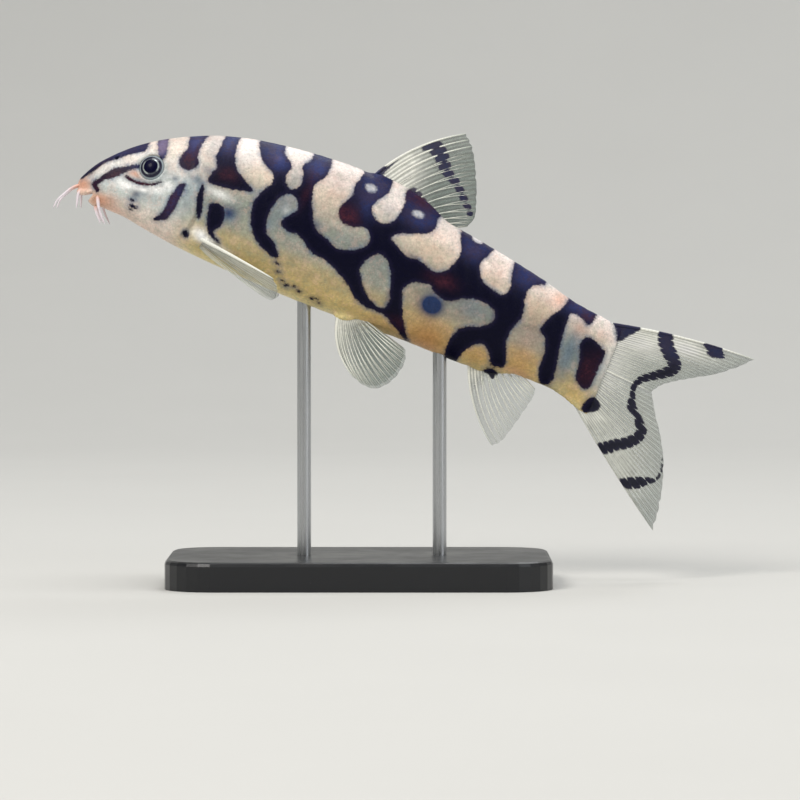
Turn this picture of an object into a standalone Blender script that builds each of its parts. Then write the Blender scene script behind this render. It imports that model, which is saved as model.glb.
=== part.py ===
"""A yoyo loach, life size, swimming nose up on a plain display stand.

Metres, +Z up, the snout towards -X. The origin is under the middle of the model, on the floor.
Sizes below are in millimetres and in the fish's own frame: s runs along the body from the tip of the
snout, h is the height above the snout, and y is the distance to the fish's right.
place() pitches that frame nose up, sways the tail and lifts the fish over its base.
"""

import math

import bmesh
import bpy
from mathutils import Matrix, Vector

MM = 0.001
GAP = 0.3

# Pose
PITCH = math.radians(22)
SNOUT_X = -56.49
SNOUT_Z = 68.6
SWAY = 4.0
SWAY_CENTRE = 38.0
SWAY_LENGTH = 80.0

# Body
BODY_END = 95.0
GILL_S = 17.0
GILL_REACH = 4.5
GILL_H = 3.0
GILL_SPREAD = 8.0
TAIL_CUT_S = 71.5
CUT_HALF = 0.15
AROUND = 40
SNOUT_STEPS = 30
SNOUT_START = 0.06
HEAD_STEPS_END = 24.0
TRUNK_STEP = 2.2

# Outlines along the body: (s, value) pairs that a smooth curve runs through
BACK_LINE = (
    (0, 0.7), (0.5, 2.35), (1, 3.35), (2, 5.0), (3.5, 6.8), (7, 10.2), (10, 12.4), (15, 15.2),
    (20, 17.35), (27, 19.2), (36, 20.5), (44, 21.0), (50, 20.4), (60, 18.4), (68, 17.3),
    (80, 15.3), (88, 13.5), (95, 12.8),
)
BELLY_LINE = (
    (0, 0.7), (0.5, -0.25), (1.5, -0.8), (3, -1.35), (5, -1.8), (9, -1.9), (14, -2.6), (20, -3.3),
    (30, -3.85), (42, -4.15), (52, -4.0), (63, -3.6), (72, -3.65), (78, -2.7), (83, -1.8),
    (88, -1.8), (91, -2.3), (95, -3.6),
)
HALF_WIDTH = (
    (0, 0.0), (0.5, 1.35), (1, 1.85), (2, 2.45), (4, 3.2), (7, 4.0), (10, 4.6), (15, 5.6),
    (20, 6.3), (27, 6.9), (36, 7.2), (45, 7.0), (55, 6.3), (65, 5.3), (75, 4.1), (85, 2.8),
    (91, 1.9), (95, 1.1),
)
WIDEST_HEIGHT = ((0, 0.6), (5, 2.4), (10, 3.8), (20, 5.2), (35, 6.3), (50, 6.8), (65, 6.8), (80, 6.4), (95, 5.0))
BACK_FULLNESS = ((0, 2.0), (10, 2.1), (30, 2.0), (60, 1.85), (95, 1.9))
BELLY_FULLNESS = ((0, 2.0), (6, 2.4), (20, 2.6), (45, 2.4), (65, 2.1), (95, 1.9))

# Gentle swellings of the flank: (s, h, reach along s, reach along h, height)
SWELLINGS = (
    (17.0, 3.5, 3.6, 5.0, 0.45),
    (23.2, 3.0, 1.6, 4.5, -0.25),
    (7.5, 2.0, 2.5, 1.8, 0.25),
    (10.8, 10.7, 2.8, 0.9, 0.2),
)

# Head
EYE_S, EYE_H = 11.2, 7.8
EYE_RADIUS, EYE_DEPTH, EYE_SUNK = 2.1, 1.5, 0.8
RIM_RADIUS, RIM_THICK = 2.55, 0.34
NOSTRIL_S, NOSTRIL_H = 4.9, 7.0
NOSTRIL_RADIUS, NOSTRIL_WALL = 0.55, 0.22
UPPER_LIP = ((3.6, 2.4, 0.35), (2.4, 2.25, -0.3), (1.3, 1.4, -0.6), (0.9, 0.0, -0.7))
LOWER_LIP = ((3.9, 2.45, 0.15), (3.5, 1.95, -0.75), (3.35, 0.95, -1.35), (3.5, 0.0, -1.3))
LIP_RADIUS = 0.5
CHIN_LOBE = (4.1, 0.85, -1.5)
CHIN_LOBE_RADII = (0.75, 0.85, 0.65)
MOUTH = ((3.75, 0.45), (1.35, -1.5), (2.5, -2.6))
MOUTH_HALF_WIDTH = 4.0
CHEEK_SLIT = ((7.4, 4.75), (8.6, 4.3), (10.0, 4.25), (11.2, 4.6))
CHEEK_SLIT_RADIUS = 0.3

# Barbels, one side: (s, y, h) from root to tip
BARBELS = {
    "barbel_snout_front": ((0.9, 0.5, 0.4), (-0.3, 0.75, -0.35), (-1.3, 1.0, -1.9), (-2.05, 1.2, -3.5), (-2.2, 1.3, -4.9)),
    "barbel_snout_side": ((1.3, 1.1, 0.3), (1.0, 1.75, -0.9), (1.15, 1.95, -1.9), (1.6, 2.1, -3.4)),
    "barbel_mouth_corner": ((4.2, 1.9, 0.1), (4.6, 2.75, -0.9), (5.7, 3.0, -2.6), (7.1, 2.9, -4.1)),
    "barbel_chin": ((4.2, 0.85, -1.5), (4.7, 1.0, -2.5), (5.5, 1.15, -3.5), (6.2, 1.3, -4.3)),
}
BARBEL_ROOT_RADIUS, BARBEL_TIP_RADIUS = 0.4, 0.18
BARBEL_SPLAY = 0.25

# Fins: root and margin points are (s, h), or (s, y, h) on a paired fin
FIN_WEB, FIN_EDGE = 0.5, 0.3
RAY_ROOT, RAY_TIP = 1.0, 0.7
DORSAL_ROOT = ((46.2, 19.6), (61.6, 17.2))
DORSAL_MARGIN = ((58.8, 33.4), (60.6, 31.8), (62.2, 29.2), (63.6, 26.4), (64.9, 23.2), (65.6, 20.6), (65.0, 18.7))
ANAL_ROOT = ((73.8, -2.4), (81.6, -0.8))
ANAL_MARGIN = ((83.2, -14.7), (84.4, -13.4), (85.3, -10.4), (86.1, -7.0), (86.6, -4.4), (86.4, -2.9))
UPPER_TAIL_ROOT = ((94.2, 12.2), (94.2, 5.2))
UPPER_TAIL_MARGIN = ((119.8, 16.0), (117.4, 13.5), (114.4, 11.1), (111.3, 9.2), (108.6, 7.5), (106.5, 5.9), (105.3, 4.4))
LOWER_TAIL_ROOT = ((94.2, 4.8), (94.2, -3.2))
LOWER_TAIL_MARGIN = ((105.3, 3.95), (107.3, 1.0), (109.9, -2.7), (112.0, -6.6), (113.3, -10.4), (114.2, -14.2), (114.6, -18.0))
PELVIC_ROOT = ((50.0, 2.3, -2.9), (53.6, 2.6, -2.8))
PELVIC_MARGIN = (
    (56.6, 4.4, -12.6), (58.6, 5.0, -13.2), (60.7, 5.5, -12.9), (62.3, 5.9, -11.3), (63.3, 6.0, -9.0),
    (63.5, 5.8, -6.6), (62.9, 5.2, -4.9),
)
PECTORAL_ROOT = ((21.6, 5.4, 1.1), (22.6, 4.7, -1.1))
PECTORAL_MARGIN = (
    (37.6, 9.3, -2.0), (38.8, 9.2, -3.1), (39.2, 9.0, -4.4), (38.7, 8.6, -5.5), (36.8, 8.0, -5.4),
    (34.0, 7.4, -4.6), (31.0, 6.8, -3.7),
)

# Stand
BASE_X, BASE_LENGTH, BASE_WIDTH, BASE_HEIGHT = -7.8, 66.0, 40.0, 5.0
BASE_CORNER, BASE_EDGE = 8.0, 0.7
ROD_RADIUS, ROD_INTO_BODY = 1.2, 4.0
FRONT_ROD_S, REAR_ROD_S = 43.5, 68.5

COLOURS = {
    "skin": ((0.74, 0.66, 0.52), 0.35, 0.0),
    "fin": ((0.78, 0.80, 0.70), 0.4, 0.0),
    "barbel": ((0.85, 0.74, 0.66), 0.45, 0.0),
    "eye": ((0.02, 0.02, 0.05), 0.1, 0.0),
    "base": ((0.09, 0.09, 0.10), 0.55, 0.0),
    "rod": ((0.62, 0.62, 0.64), 0.3, 1.0),
}


def curve_through(knots):
    """A smooth function of s through the knots, without overshoot; it reads sqrt(s), which rounds the snout."""
    at = [math.sqrt(s) for s, _ in knots]
    value = [v for _, v in knots]
    rise = [(value[i + 1] - value[i]) / (at[i + 1] - at[i]) for i in range(len(at) - 1)]
    slope = [rise[0]]
    for before, after in zip(rise, rise[1:]):
        slope.append(0.0 if before * after <= 0 else 2 * before * after / (before + after))
    slope.append(rise[-1])

    def read(s):
        q = min(max(math.sqrt(max(s, 0.0)), at[0]), at[-1])
        i = max(j for j in range(len(at) - 1) if at[j] <= q)
        width = at[i + 1] - at[i]
        t = (q - at[i]) / width
        return (
            value[i] * (1 + 2 * t) * (1 - t) ** 2
            + slope[i] * width * t * (1 - t) ** 2
            + value[i + 1] * t * t * (3 - 2 * t)
            + slope[i + 1] * width * t * t * (t - 1)
        )

    return read


back = curve_through(BACK_LINE)
belly = curve_through(BELLY_LINE)
half_width = curve_through(HALF_WIDTH)
widest_height = curve_through(WIDEST_HEIGHT)
back_fullness = curve_through(BACK_FULLNESS)
belly_fullness = curve_through(BELLY_FULLNESS)


def swelling(s, h):
    """How far the flank stands out at (s, h), over its plain section."""
    return sum(
        height * math.exp(-(((s - at_s) / reach_s) ** 2) - ((h - at_h) / reach_h) ** 2)
        for at_s, at_h, reach_s, reach_h, height in SWELLINGS
    )


def flank(s, h):
    """The body's half width at a height, with its swellings."""
    middle = widest_height(s)
    if h > middle:
        share, full = (h - middle) / (back(s) - middle), back_fullness(s)
    else:
        share, full = (middle - h) / (middle - belly(s)), belly_fullness(s)
    side = max(0.0, 1 - min(share, 1.0) ** full) ** (1 / full)
    return half_width(s) * side + swelling(s, h) * side


def place(s, y, h):
    """A point of the fish's own frame, in millimetres, as a place in the model, in metres."""
    turn = 2 * SWAY * (s - SWAY_CENTRE) / SWAY_LENGTH**2
    along = s - y * math.sin(turn)
    across = SWAY * ((s - SWAY_CENTRE) / SWAY_LENGTH) ** 2 + y * math.cos(turn)
    x = SNOUT_X + along * math.cos(PITCH) + h * math.sin(PITCH)
    z = SNOUT_Z - along * math.sin(PITCH) + h * math.cos(PITCH)
    return Vector((x, across, z)) * MM


def skin_point(s, h, side):
    """A point of the flank and its outward normal, side -1 on the fish's left and 1 on its right."""
    step = 0.1
    slope_s = (flank(s + step, h) - flank(s - step, h)) / (2 * step)
    slope_h = (flank(s, h + step) - flank(s, h - step)) / (2 * step)
    point = place(s, side * flank(s, h), h)
    out = place(s - slope_s, side * (flank(s, h) + 1), h - slope_h) - point
    return point, out.normalized()


def material(name):
    colour, roughness, metallic = COLOURS[name]
    made = bpy.data.materials.new(name)
    made.use_nodes = True
    shader = made.node_tree.nodes["Principled BSDF"]
    shader.inputs["Base Color"].default_value = (*colour, 1.0)
    shader.inputs["Roughness"].default_value = roughness
    shader.inputs["Metallic"].default_value = metallic
    return made


def new_object(name, mesh, collection, finish=None):
    made = bpy.data.objects.new(name, mesh)
    collection.objects.link(made)
    if finish:
        mesh.materials.clear()
        mesh.materials.append(finish)
    return made


def mesh_from(build, name):
    """A mesh of whatever build() puts in a new bmesh, with its faces pointing out."""
    shape = bmesh.new()
    build(shape)
    bmesh.ops.recalc_face_normals(shape, faces=shape.faces)
    mesh = bpy.data.meshes.new(name)
    shape.to_mesh(mesh)
    shape.free()
    return mesh


def loft(rings):
    """Builds a closed skin over rings of points, each end closed by a fan to its middle."""

    def build(shape):
        rows = [[shape.verts.new(p) for p in ring] for ring in rings]
        count = len(rings[0])
        for low, high in zip(rows, rows[1:]):
            for k in range(count):
                shape.faces.new((low[k], low[(k + 1) % count], high[(k + 1) % count], high[k]))
        for row in (rows[0], rows[-1]):
            middle = shape.verts.new(sum((v.co for v in row), Vector()) / count)
            for k in range(count):
                shape.faces.new((row[k], row[(k + 1) % count], middle))

    return build


def body_stations():
    start, end = math.sqrt(SNOUT_START), math.sqrt(HEAD_STEPS_END)
    stations = [(start + (end - start) * i / SNOUT_STEPS) ** 2 for i in range(SNOUT_STEPS + 1)]
    steps = round((BODY_END - HEAD_STEPS_END) / TRUNK_STEP)
    stations += [HEAD_STEPS_END + (BODY_END - HEAD_STEPS_END) * (i + 1) / steps for i in range(steps)]
    return stations


def body_ring(s):
    """The points of one section of the body, round from its right side over the back."""
    ring = []
    for k in range(AROUND):
        angle = 2 * math.pi * k / AROUND
        up, out = math.sin(angle), math.cos(angle)
        middle = widest_height(s)
        if up > 0:
            reach, full = back(s) - middle, back_fullness(s)
        else:
            reach, full = middle - belly(s), belly_fullness(s)
        h = middle + math.copysign(reach * abs(up) ** (2 / full), up)
        side = abs(out) ** (2 / full)
        y = math.copysign((half_width(s) + swelling(s, h)) * side, out)
        ring.append(place(s, y, h))
    return ring


def whole_body(name, collection, grow=0.0):
    """The body from snout to tail root, with its skin moved out by grow."""
    mesh = mesh_from(loft([body_ring(s) for s in body_stations()]), name)
    if grow:
        for vertex, normal in zip(mesh.vertices, [v.normal.copy() for v in mesh.vertices]):
            vertex.co += normal * grow * MM
    return new_object(name, mesh, collection)


def slab(name, collection, line, half):
    """A thin upright sheet along a line of (s, h) points, right through the body, to part it."""
    reach = 14.0

    def build(shape):
        rows = []
        for s, h in line:
            corners = ((s - half, -reach), (s + half, -reach), (s + half, reach), (s - half, reach))
            rows.append([shape.verts.new(place(a, y, h)) for a, y in corners])
        for low, high in zip(rows, rows[1:]):
            for k in range(4):
                shape.faces.new((low[k], low[(k + 1) % 4], high[(k + 1) % 4], high[k]))
        for row in (rows[0], rows[-1]):
            shape.faces.new(row)

    return new_object(name, mesh_from(build, name), collection)


def gill_line():
    """The rear edge of the gill cover, carried on over the nape, as (s, h) points."""
    heights = [-8 + 30 * i / 24 for i in range(25)]
    return [(GILL_S + GILL_REACH * math.exp(-(((h - GILL_H) / GILL_SPREAD) ** 2)), h) for h in heights]


def tube(name, collection, path, radii):
    """A round tube along a smooth curve through path, thick as radii says, as a closed mesh."""
    curve = bpy.data.curves.new(name, "CURVE")
    curve.dimensions = "3D"
    curve.bevel_depth = 1.0 * MM
    curve.bevel_resolution = 2
    curve.use_fill_caps = True
    points = smooth_path(path, 3)
    spline = curve.splines.new("POLY")
    spline.points.add(len(points) - 1)
    for i, point in enumerate(points):
        share = i / (len(points) - 1) * (len(radii) - 1)
        low = min(int(share), len(radii) - 2)
        spline.points[i].co = (*place(*point), 1.0)
        spline.points[i].radius = radii[low] + (radii[low + 1] - radii[low]) * (share - low)
    source = bpy.data.objects.new(name, curve)
    collection.objects.link(source)
    graph = bpy.context.evaluated_depsgraph_get()
    mesh = bpy.data.meshes.new_from_object(source.evaluated_get(graph))
    bpy.data.objects.remove(source)
    shape = bmesh.new()
    shape.from_mesh(mesh)
    bmesh.ops.remove_doubles(shape, verts=shape.verts, dist=0.01 * MM)
    bmesh.ops.recalc_face_normals(shape, faces=shape.faces)
    shape.to_mesh(mesh)
    shape.free()
    return new_object(name, mesh, collection)


def smooth_path(points, parts):
    """Points on a smooth curve through points, with parts steps between each two."""
    path = [Vector(p) for p in points]
    ends = [path[0] * 2 - path[1], *path, path[-1] * 2 - path[-2]]
    found = []
    for before, start, end, after in zip(ends, ends[1:], ends[2:], ends[3:]):
        for k in range(parts):
            t = k / parts
            found.append(
                0.5 * (2 * start + (end - before) * t + (2 * before - 5 * start + 4 * end - after) * t * t
                       + (3 * start - before - 3 * end + after) * t**3)
            )
    return [tuple(p) for p in found] + [tuple(path[-1])]


def both_sides(half):
    """A path from the right side to the middle, carried on to the left side."""
    return [*half, *[(s, -y, h) for s, y, h in reversed(half[:-1])]]


def ellipsoid(name, collection, centre, radii, outward=None, segments=16, rings=10):
    """An ellipsoid at a place in the model. Its last radius lies along outward."""
    turn = Vector(outward or (0, 0, 1)).to_track_quat("Z", "Y").to_matrix().to_4x4()
    grow = Matrix.Diagonal((*[r * MM for r in radii], 1.0))
    matrix = Matrix.Translation(centre) @ turn @ grow

    def build(shape):
        bmesh.ops.create_uvsphere(shape, u_segments=segments, v_segments=rings, radius=1.0, matrix=matrix)

    return new_object(name, mesh_from(build, name), collection)


def ring(name, collection, centre, outward, radius, thick, segments=20, sides=8):
    """A round rim that faces outward."""
    bpy.ops.mesh.primitive_torus_add(
        location=centre,
        rotation=outward.to_track_quat("Z", "Y").to_euler(),
        major_segments=segments,
        minor_segments=sides,
        major_radius=radius * MM,
        minor_radius=thick * MM,
    )
    made = bpy.context.object
    made.name = name
    made.data.transform(made.matrix_world)
    made.matrix_world = Matrix.Identity(4)
    for owner in made.users_collection:
        owner.objects.unlink(made)
    collection.objects.link(made)
    return made


def combine(target, operation, others):
    """Joins others to target, or cuts them from it, and removes them."""
    pieces = bpy.data.collections.new("pieces")
    for other in others:
        pieces.objects.link(other)
    modifier = target.modifiers.new("combine", "BOOLEAN")
    modifier.operand_type = "COLLECTION"
    modifier.collection = pieces
    modifier.operation = operation
    graph = bpy.context.evaluated_depsgraph_get()
    mesh = bpy.data.meshes.new_from_object(target.evaluated_get(graph))
    target.modifiers.clear()
    target.data = mesh
    for other in others:
        bpy.data.objects.remove(other)
    bpy.data.collections.remove(pieces)


def islands(mesh):
    """The mesh's separate surfaces, as sets of face indices, the one of largest area first."""
    shape = bmesh.new()
    shape.from_mesh(mesh)
    shape.faces.ensure_lookup_table()
    left, found = set(range(len(shape.faces))), []
    while left:
        group, edge = set(), [left.pop()]
        while edge:
            face = edge.pop()
            group.add(face)
            for rim in shape.faces[face].edges:
                for near in rim.link_faces:
                    if near.index in left:
                        left.remove(near.index)
                        edge.append(near.index)
        found.append(group)
    found.sort(key=lambda group: -sum(shape.faces[i].calc_area() for i in group))
    shape.free()
    return found


def keep_faces(mesh, keep):
    """A copy of the mesh with only the faces in keep."""
    shape = bmesh.new()
    shape.from_mesh(mesh)
    shape.faces.ensure_lookup_table()
    drop = [face for face in shape.faces if face.index not in keep]
    bmesh.ops.delete(shape, geom=drop, context="FACES")
    loose = [vertex for vertex in shape.verts if not vertex.link_faces]
    bmesh.ops.delete(shape, geom=loose, context="VERTS")
    made = bpy.data.meshes.new(mesh.name)
    shape.to_mesh(made)
    shape.free()
    return made


def keep_largest(obj):
    obj.data = keep_faces(obj.data, islands(obj.data)[0])


def smooth(obj, finish):
    obj.data.materials.clear()
    obj.data.materials.append(finish)
    obj.data.shade_smooth()
    obj.data.set_sharp_from_angle(angle=math.radians(40))


def head_pieces(cutters, grow):
    """The lips, chin lobes, eye rims and nostril rims that stand out from the head, made thicker by grow."""
    lip = [LIP_RADIUS * k + grow for k in (0.75, 1.0, 1.1, 1.15, 1.1, 1.0, 0.75)]
    pieces = [
        tube("upper_lip", cutters, both_sides(UPPER_LIP), lip),
        tube("lower_lip", cutters, both_sides(LOWER_LIP), lip),
    ]
    for side in (-1, 1):
        s, y, h = CHIN_LOBE
        lobe = [r + grow for r in CHIN_LOBE_RADII]
        pieces.append(ellipsoid("chin_lobe", cutters, place(s, side * y, h), lobe, None, 12, 8))
        point, out = skin_point(EYE_S, EYE_H, side)
        pieces.append(ring("eye_rim", cutters, point - out * 0.12 * MM, out, RIM_RADIUS, RIM_THICK + grow))
        point, out = skin_point(NOSTRIL_S, NOSTRIL_H, side)
        pieces.append(ring("nostril_rim", cutters, point, out, NOSTRIL_RADIUS, NOSTRIL_WALL + grow, 10, 6))
    return pieces


def mouth_gap(cutters):
    """The wedge between the lips, right across the snout."""

    def build(shape):
        sides = []
        for y in (-MOUTH_HALF_WIDTH, MOUTH_HALF_WIDTH):
            sides.append([shape.verts.new(place(s, y, h)) for s, h in MOUTH])
        for k in range(3):
            shape.faces.new((sides[0][k], sides[0][(k + 1) % 3], sides[1][(k + 1) % 3], sides[1][k]))
        for side in sides:
            shape.faces.new(side)

    return new_object("mouth_gap", mesh_from(build, "mouth_gap"), cutters)


def finish_head(head, cutters):
    """Adds the lips and rims, then opens the mouth, nostrils, eye sockets and the slit under each eye."""
    combine(head, "UNION", head_pieces(cutters, 0.0))
    openings = [mouth_gap(cutters)]
    for side in (-1, 1):
        openings.append(eye_shape("socket", cutters, side, GAP))
        point, out = skin_point(NOSTRIL_S, NOSTRIL_H, side)
        size = NOSTRIL_RADIUS - NOSTRIL_WALL / 2
        openings.append(ellipsoid("nostril", cutters, point, (size, size, 1.1), out, 10, 8))
        slit = [(s, side * (flank(s, h) + 0.02), h) for s, h in CHEEK_SLIT]
        openings.append(tube("cheek_slit", cutters, slit, [CHEEK_SLIT_RADIUS * k for k in (0.6, 1.0, 1.0, 0.6)]))
    combine(head, "DIFFERENCE", openings)
    keep_largest(head)


def eye_shape(name, collection, side, grow=0.0):
    """One eyeball, a flattened ball that faces straight out of the head."""
    point, out = skin_point(EYE_S, EYE_H, side)
    radii = (EYE_RADIUS + grow, EYE_RADIUS + grow, EYE_DEPTH + grow)
    return ellipsoid(name, collection, point - out * EYE_SUNK * MM, radii, out, 20, 12)


def body_parts(parts, cutters, skin):
    """The whole body, parted behind the gill covers and before the anal fin into head, trunk and tail."""
    body = whole_body("trunk", parts)
    cut = [
        slab("gill_cut", cutters, gill_line(), CUT_HALF),
        slab("tail_cut", cutters, [(TAIL_CUT_S, -14.0), (TAIL_CUT_S, 30.0)], CUT_HALF),
    ]
    combine(body, "DIFFERENCE", cut)
    groups = islands(body.data)[:3]
    meshes = [keep_faces(body.data, group) for group in groups]
    meshes.sort(key=lambda mesh: min(v.co.x for v in mesh.vertices))
    bpy.data.objects.remove(body)
    head, trunk, tail = [new_object(n, m, parts) for n, m in zip(("head", "trunk", "tail"), meshes)]
    finish_head(head, cutters)
    for made in (head, trunk, tail):
        smooth(made, skin)


def fin_sheet(rays, rows, point):
    """Builds a thin closed fin, its rays raised as ridges, triangled alike on both faces."""
    columns = 2 * rays - 1

    def build(shape):
        faces = ([], [])
        for i in range(rows + 1):
            v = i / rows
            for face in faces:
                face.append([])
            for j in range(columns):
                t = j / (columns - 1)
                centre = point(t, v)
                step = 0.01
                across = point(min(t + step, 1), v) - point(max(t - step, 0), v)
                along = point(t, min(v + step, 1)) - point(t, max(v - step, 0))
                normal = across.cross(along).normalized()
                base, tip = (RAY_ROOT, RAY_TIP) if j % 2 == 0 else (FIN_WEB, FIN_EDGE)
                thick = (base + (tip - base) * v) / 2 * MM
                for face, sign in zip(faces, (1, -1)):
                    face[i].append(shape.verts.new(centre + normal * sign * thick))
        for face in faces:
            for i in range(rows):
                for j in range(columns - 1):
                    a, b = face[i][j], face[i][j + 1]
                    c, d = face[i + 1][j + 1], face[i + 1][j]
                    shape.faces.new((a, b, c))
                    shape.faces.new((a, c, d))
        front, rear = faces
        border = [(0, j) for j in range(columns)] + [(i, columns - 1) for i in range(1, rows + 1)]
        border += [(rows, j) for j in range(columns - 2, -1, -1)] + [(i, 0) for i in range(rows - 1, 0, -1)]
        for (i, j), (m, n) in zip(border, [*border[1:], border[0]]):
            shape.faces.new((front[i][j], rear[i][j], rear[m][n]))
            shape.faces.new((front[i][j], rear[m][n], front[m][n]))

    return build


def along_line(points, t):
    """The place a share t of the way along a smooth line through points."""
    line = [Vector(p if len(p) == 3 else (p[0], 0.0, p[1])) for p in points]
    if len(line) == 2:
        return line[0].lerp(line[1], t)
    ends = [line[0] * 2 - line[1], *line, line[-1] * 2 - line[-2]]
    share = t * (len(line) - 1)
    i = min(int(share), len(line) - 2)
    u = share - i
    before, start, end, after = ends[i : i + 4]
    return 0.5 * (
        2 * start + (end - before) * u + (2 * before - 5 * start + 4 * end - after) * u * u
        + (3 * start - before - 3 * end + after) * u**3
    )


def fin_surface(root, margin, side=1, bow=(0.0, 0.0)):
    """A function of (t, v) over a fin: t runs from its first ray to its last, v from root to margin.

    bow says how far the first and the last ray curve away from straight, in the fin's own plane.
    """

    def point(t, v):
        start, end = along_line(root, t), along_line(margin, t)
        ray = end - start
        place_in = start + ray * v
        curve = (bow[0] * (1 - t) + bow[1] * t) * 4 * v * (1 - v)
        ahead = Vector((-ray.z, 0.0, ray.x)).normalized()
        place_in += ahead * curve
        return place(place_in.x, side * place_in.y, place_in.z)

    return point


def fins(parts, cutters, finish):
    """Every fin, cut clear of the body that it grows from."""
    median = (
        ("dorsal_fin", DORSAL_ROOT, DORSAL_MARGIN, 12, 8, (1.5, 0.0)),
        ("anal_fin", ANAL_ROOT, ANAL_MARGIN, 8, 7, (-1.3, 0.0)),
        ("tail_fin_upper", UPPER_TAIL_ROOT, UPPER_TAIL_MARGIN, 10, 9, (0.7, 0.0)),
        ("tail_fin_lower", LOWER_TAIL_ROOT, LOWER_TAIL_MARGIN, 9, 9, (0.0, -0.3)),
    )
    paired = (
        ("pelvic_fin", PELVIC_ROOT, PELVIC_MARGIN, 8, 7, (-1.7, 0.0)),
        ("pectoral_fin", PECTORAL_ROOT, PECTORAL_MARGIN, 10, 8, (0.6, -0.4)),
    )
    plans = [(name, root, margin, rays, rows, bow, 1) for name, root, margin, rays, rows, bow in median]
    for name, root, margin, rays, rows, bow in paired:
        plans.append((name + "_left", root, margin, rays, rows, bow, -1))
        plans.append((name + "_right", root, margin, rays, rows, bow, 1))
    for name, root, margin, rays, rows, bow, side in plans:
        sheet = fin_sheet(rays, rows, fin_surface(root, margin, side, bow))
        made = new_object(name, mesh_from(sheet, name), parts)
        combine(made, "DIFFERENCE", [whole_body("clear_of_body", cutters, GAP)])
        keep_largest(made)
        smooth(made, finish)


def barbels(parts, cutters, finish):
    """Four pairs of barbels, each cut clear of the head and lips."""
    for name, path in BARBELS.items():
        for side, where in ((-1, "_left"), (1, "_right")):
            splay = BARBEL_SPLAY if side > 0 else 0.0
            bent = [(s + splay * (i / (len(path) - 1)) ** 2, side * y, h + splay * 0.6 * (i / (len(path) - 1)) ** 2)
                    for i, (s, y, h) in enumerate(path)]
            radii = (BARBEL_ROOT_RADIUS, BARBEL_ROOT_RADIUS * 0.85, BARBEL_TIP_RADIUS)
            made = tube(name + where, parts, bent, radii)
            clear = whole_body("clear_of_body", cutters, GAP)
            combine(clear, "UNION", head_pieces(cutters, GAP))
            combine(made, "DIFFERENCE", [clear])
            keep_largest(made)
            smooth(made, finish)


def eyes(parts, finish):
    for side, name in ((-1, "eye_left"), (1, "eye_right")):
        smooth(eye_shape(name, parts, side), finish)


def stand(parts, cutters, base_finish, rod_finish):
    """A flat base with rounded corners, and two upright rods to the belly."""

    def build(shape):
        size = Matrix.Diagonal((BASE_LENGTH * MM, BASE_WIDTH * MM, BASE_HEIGHT * MM, 1.0))
        centre = Matrix.Translation((BASE_X * MM, 0.0, BASE_HEIGHT / 2 * MM))
        bmesh.ops.create_cube(shape, size=1.0, matrix=centre @ size)
        upright = [e for e in shape.edges if abs(e.verts[0].co.z - e.verts[1].co.z) > BASE_HEIGHT / 2 * MM]
        bmesh.ops.bevel(shape, geom=upright, offset=BASE_CORNER * MM, segments=6, profile=0.5, affect="EDGES")
        top = [e for e in shape.edges if min(v.co.z for v in e.verts) > (BASE_HEIGHT - 0.01) * MM]
        bmesh.ops.bevel(shape, geom=top, offset=BASE_EDGE * MM, segments=2, profile=0.5, affect="EDGES")

    base = new_object("stand_base", mesh_from(build, "stand_base"), parts)
    smooth(base, base_finish)
    for name, s in (("stand_rod_front", FRONT_ROD_S), ("stand_rod_rear", REAR_ROD_S)):
        foot = (BASE_HEIGHT + GAP) * MM
        top = place(s, 0.0, belly(s) + ROD_INTO_BODY)

        def build_rod(shape, foot=foot, top=top):
            matrix = Matrix.Translation((top.x, top.y, (foot + top.z) / 2))
            bmesh.ops.create_cone(
                shape, cap_ends=True, segments=20, radius1=ROD_RADIUS * MM, radius2=ROD_RADIUS * MM,
                depth=top.z - foot, matrix=matrix,
            )

        rod = new_object(name, mesh_from(build_rod, name), parts)
        combine(rod, "DIFFERENCE", [whole_body("clear_of_body", cutters, GAP)])
        keep_largest(rod)
        smooth(rod, rod_finish)


def main():
    for obj in list(bpy.data.objects):
        bpy.data.objects.remove(obj)
    parts = bpy.data.collections.new("yoyo_loach")
    cutters = bpy.data.collections.new("cutters")
    bpy.context.scene.collection.children.link(parts)
    bpy.context.scene.collection.children.link(cutters)
    finishes = {name: material(name) for name in COLOURS}
    body_parts(parts, cutters, finishes["skin"])
    eyes(parts, finishes["eye"])
    fins(parts, cutters, finishes["fin"])
    barbels(parts, cutters, finishes["barbel"])
    stand(parts, cutters, finishes["base"], finishes["rod"])


main()
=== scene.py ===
"""The looks of a life-size yoyo loach on its display stand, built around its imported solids.

Sizes are millimetres in the fish's own frame, as in the solids' source: s runs from the tip of the snout
along the body, h is the height above the snout, y the distance to the fish's right. place() turns them into
metres in the model's frame.
"""

import math

import bmesh
import bpy
import numpy as np
from mathutils import Matrix, Vector


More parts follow.
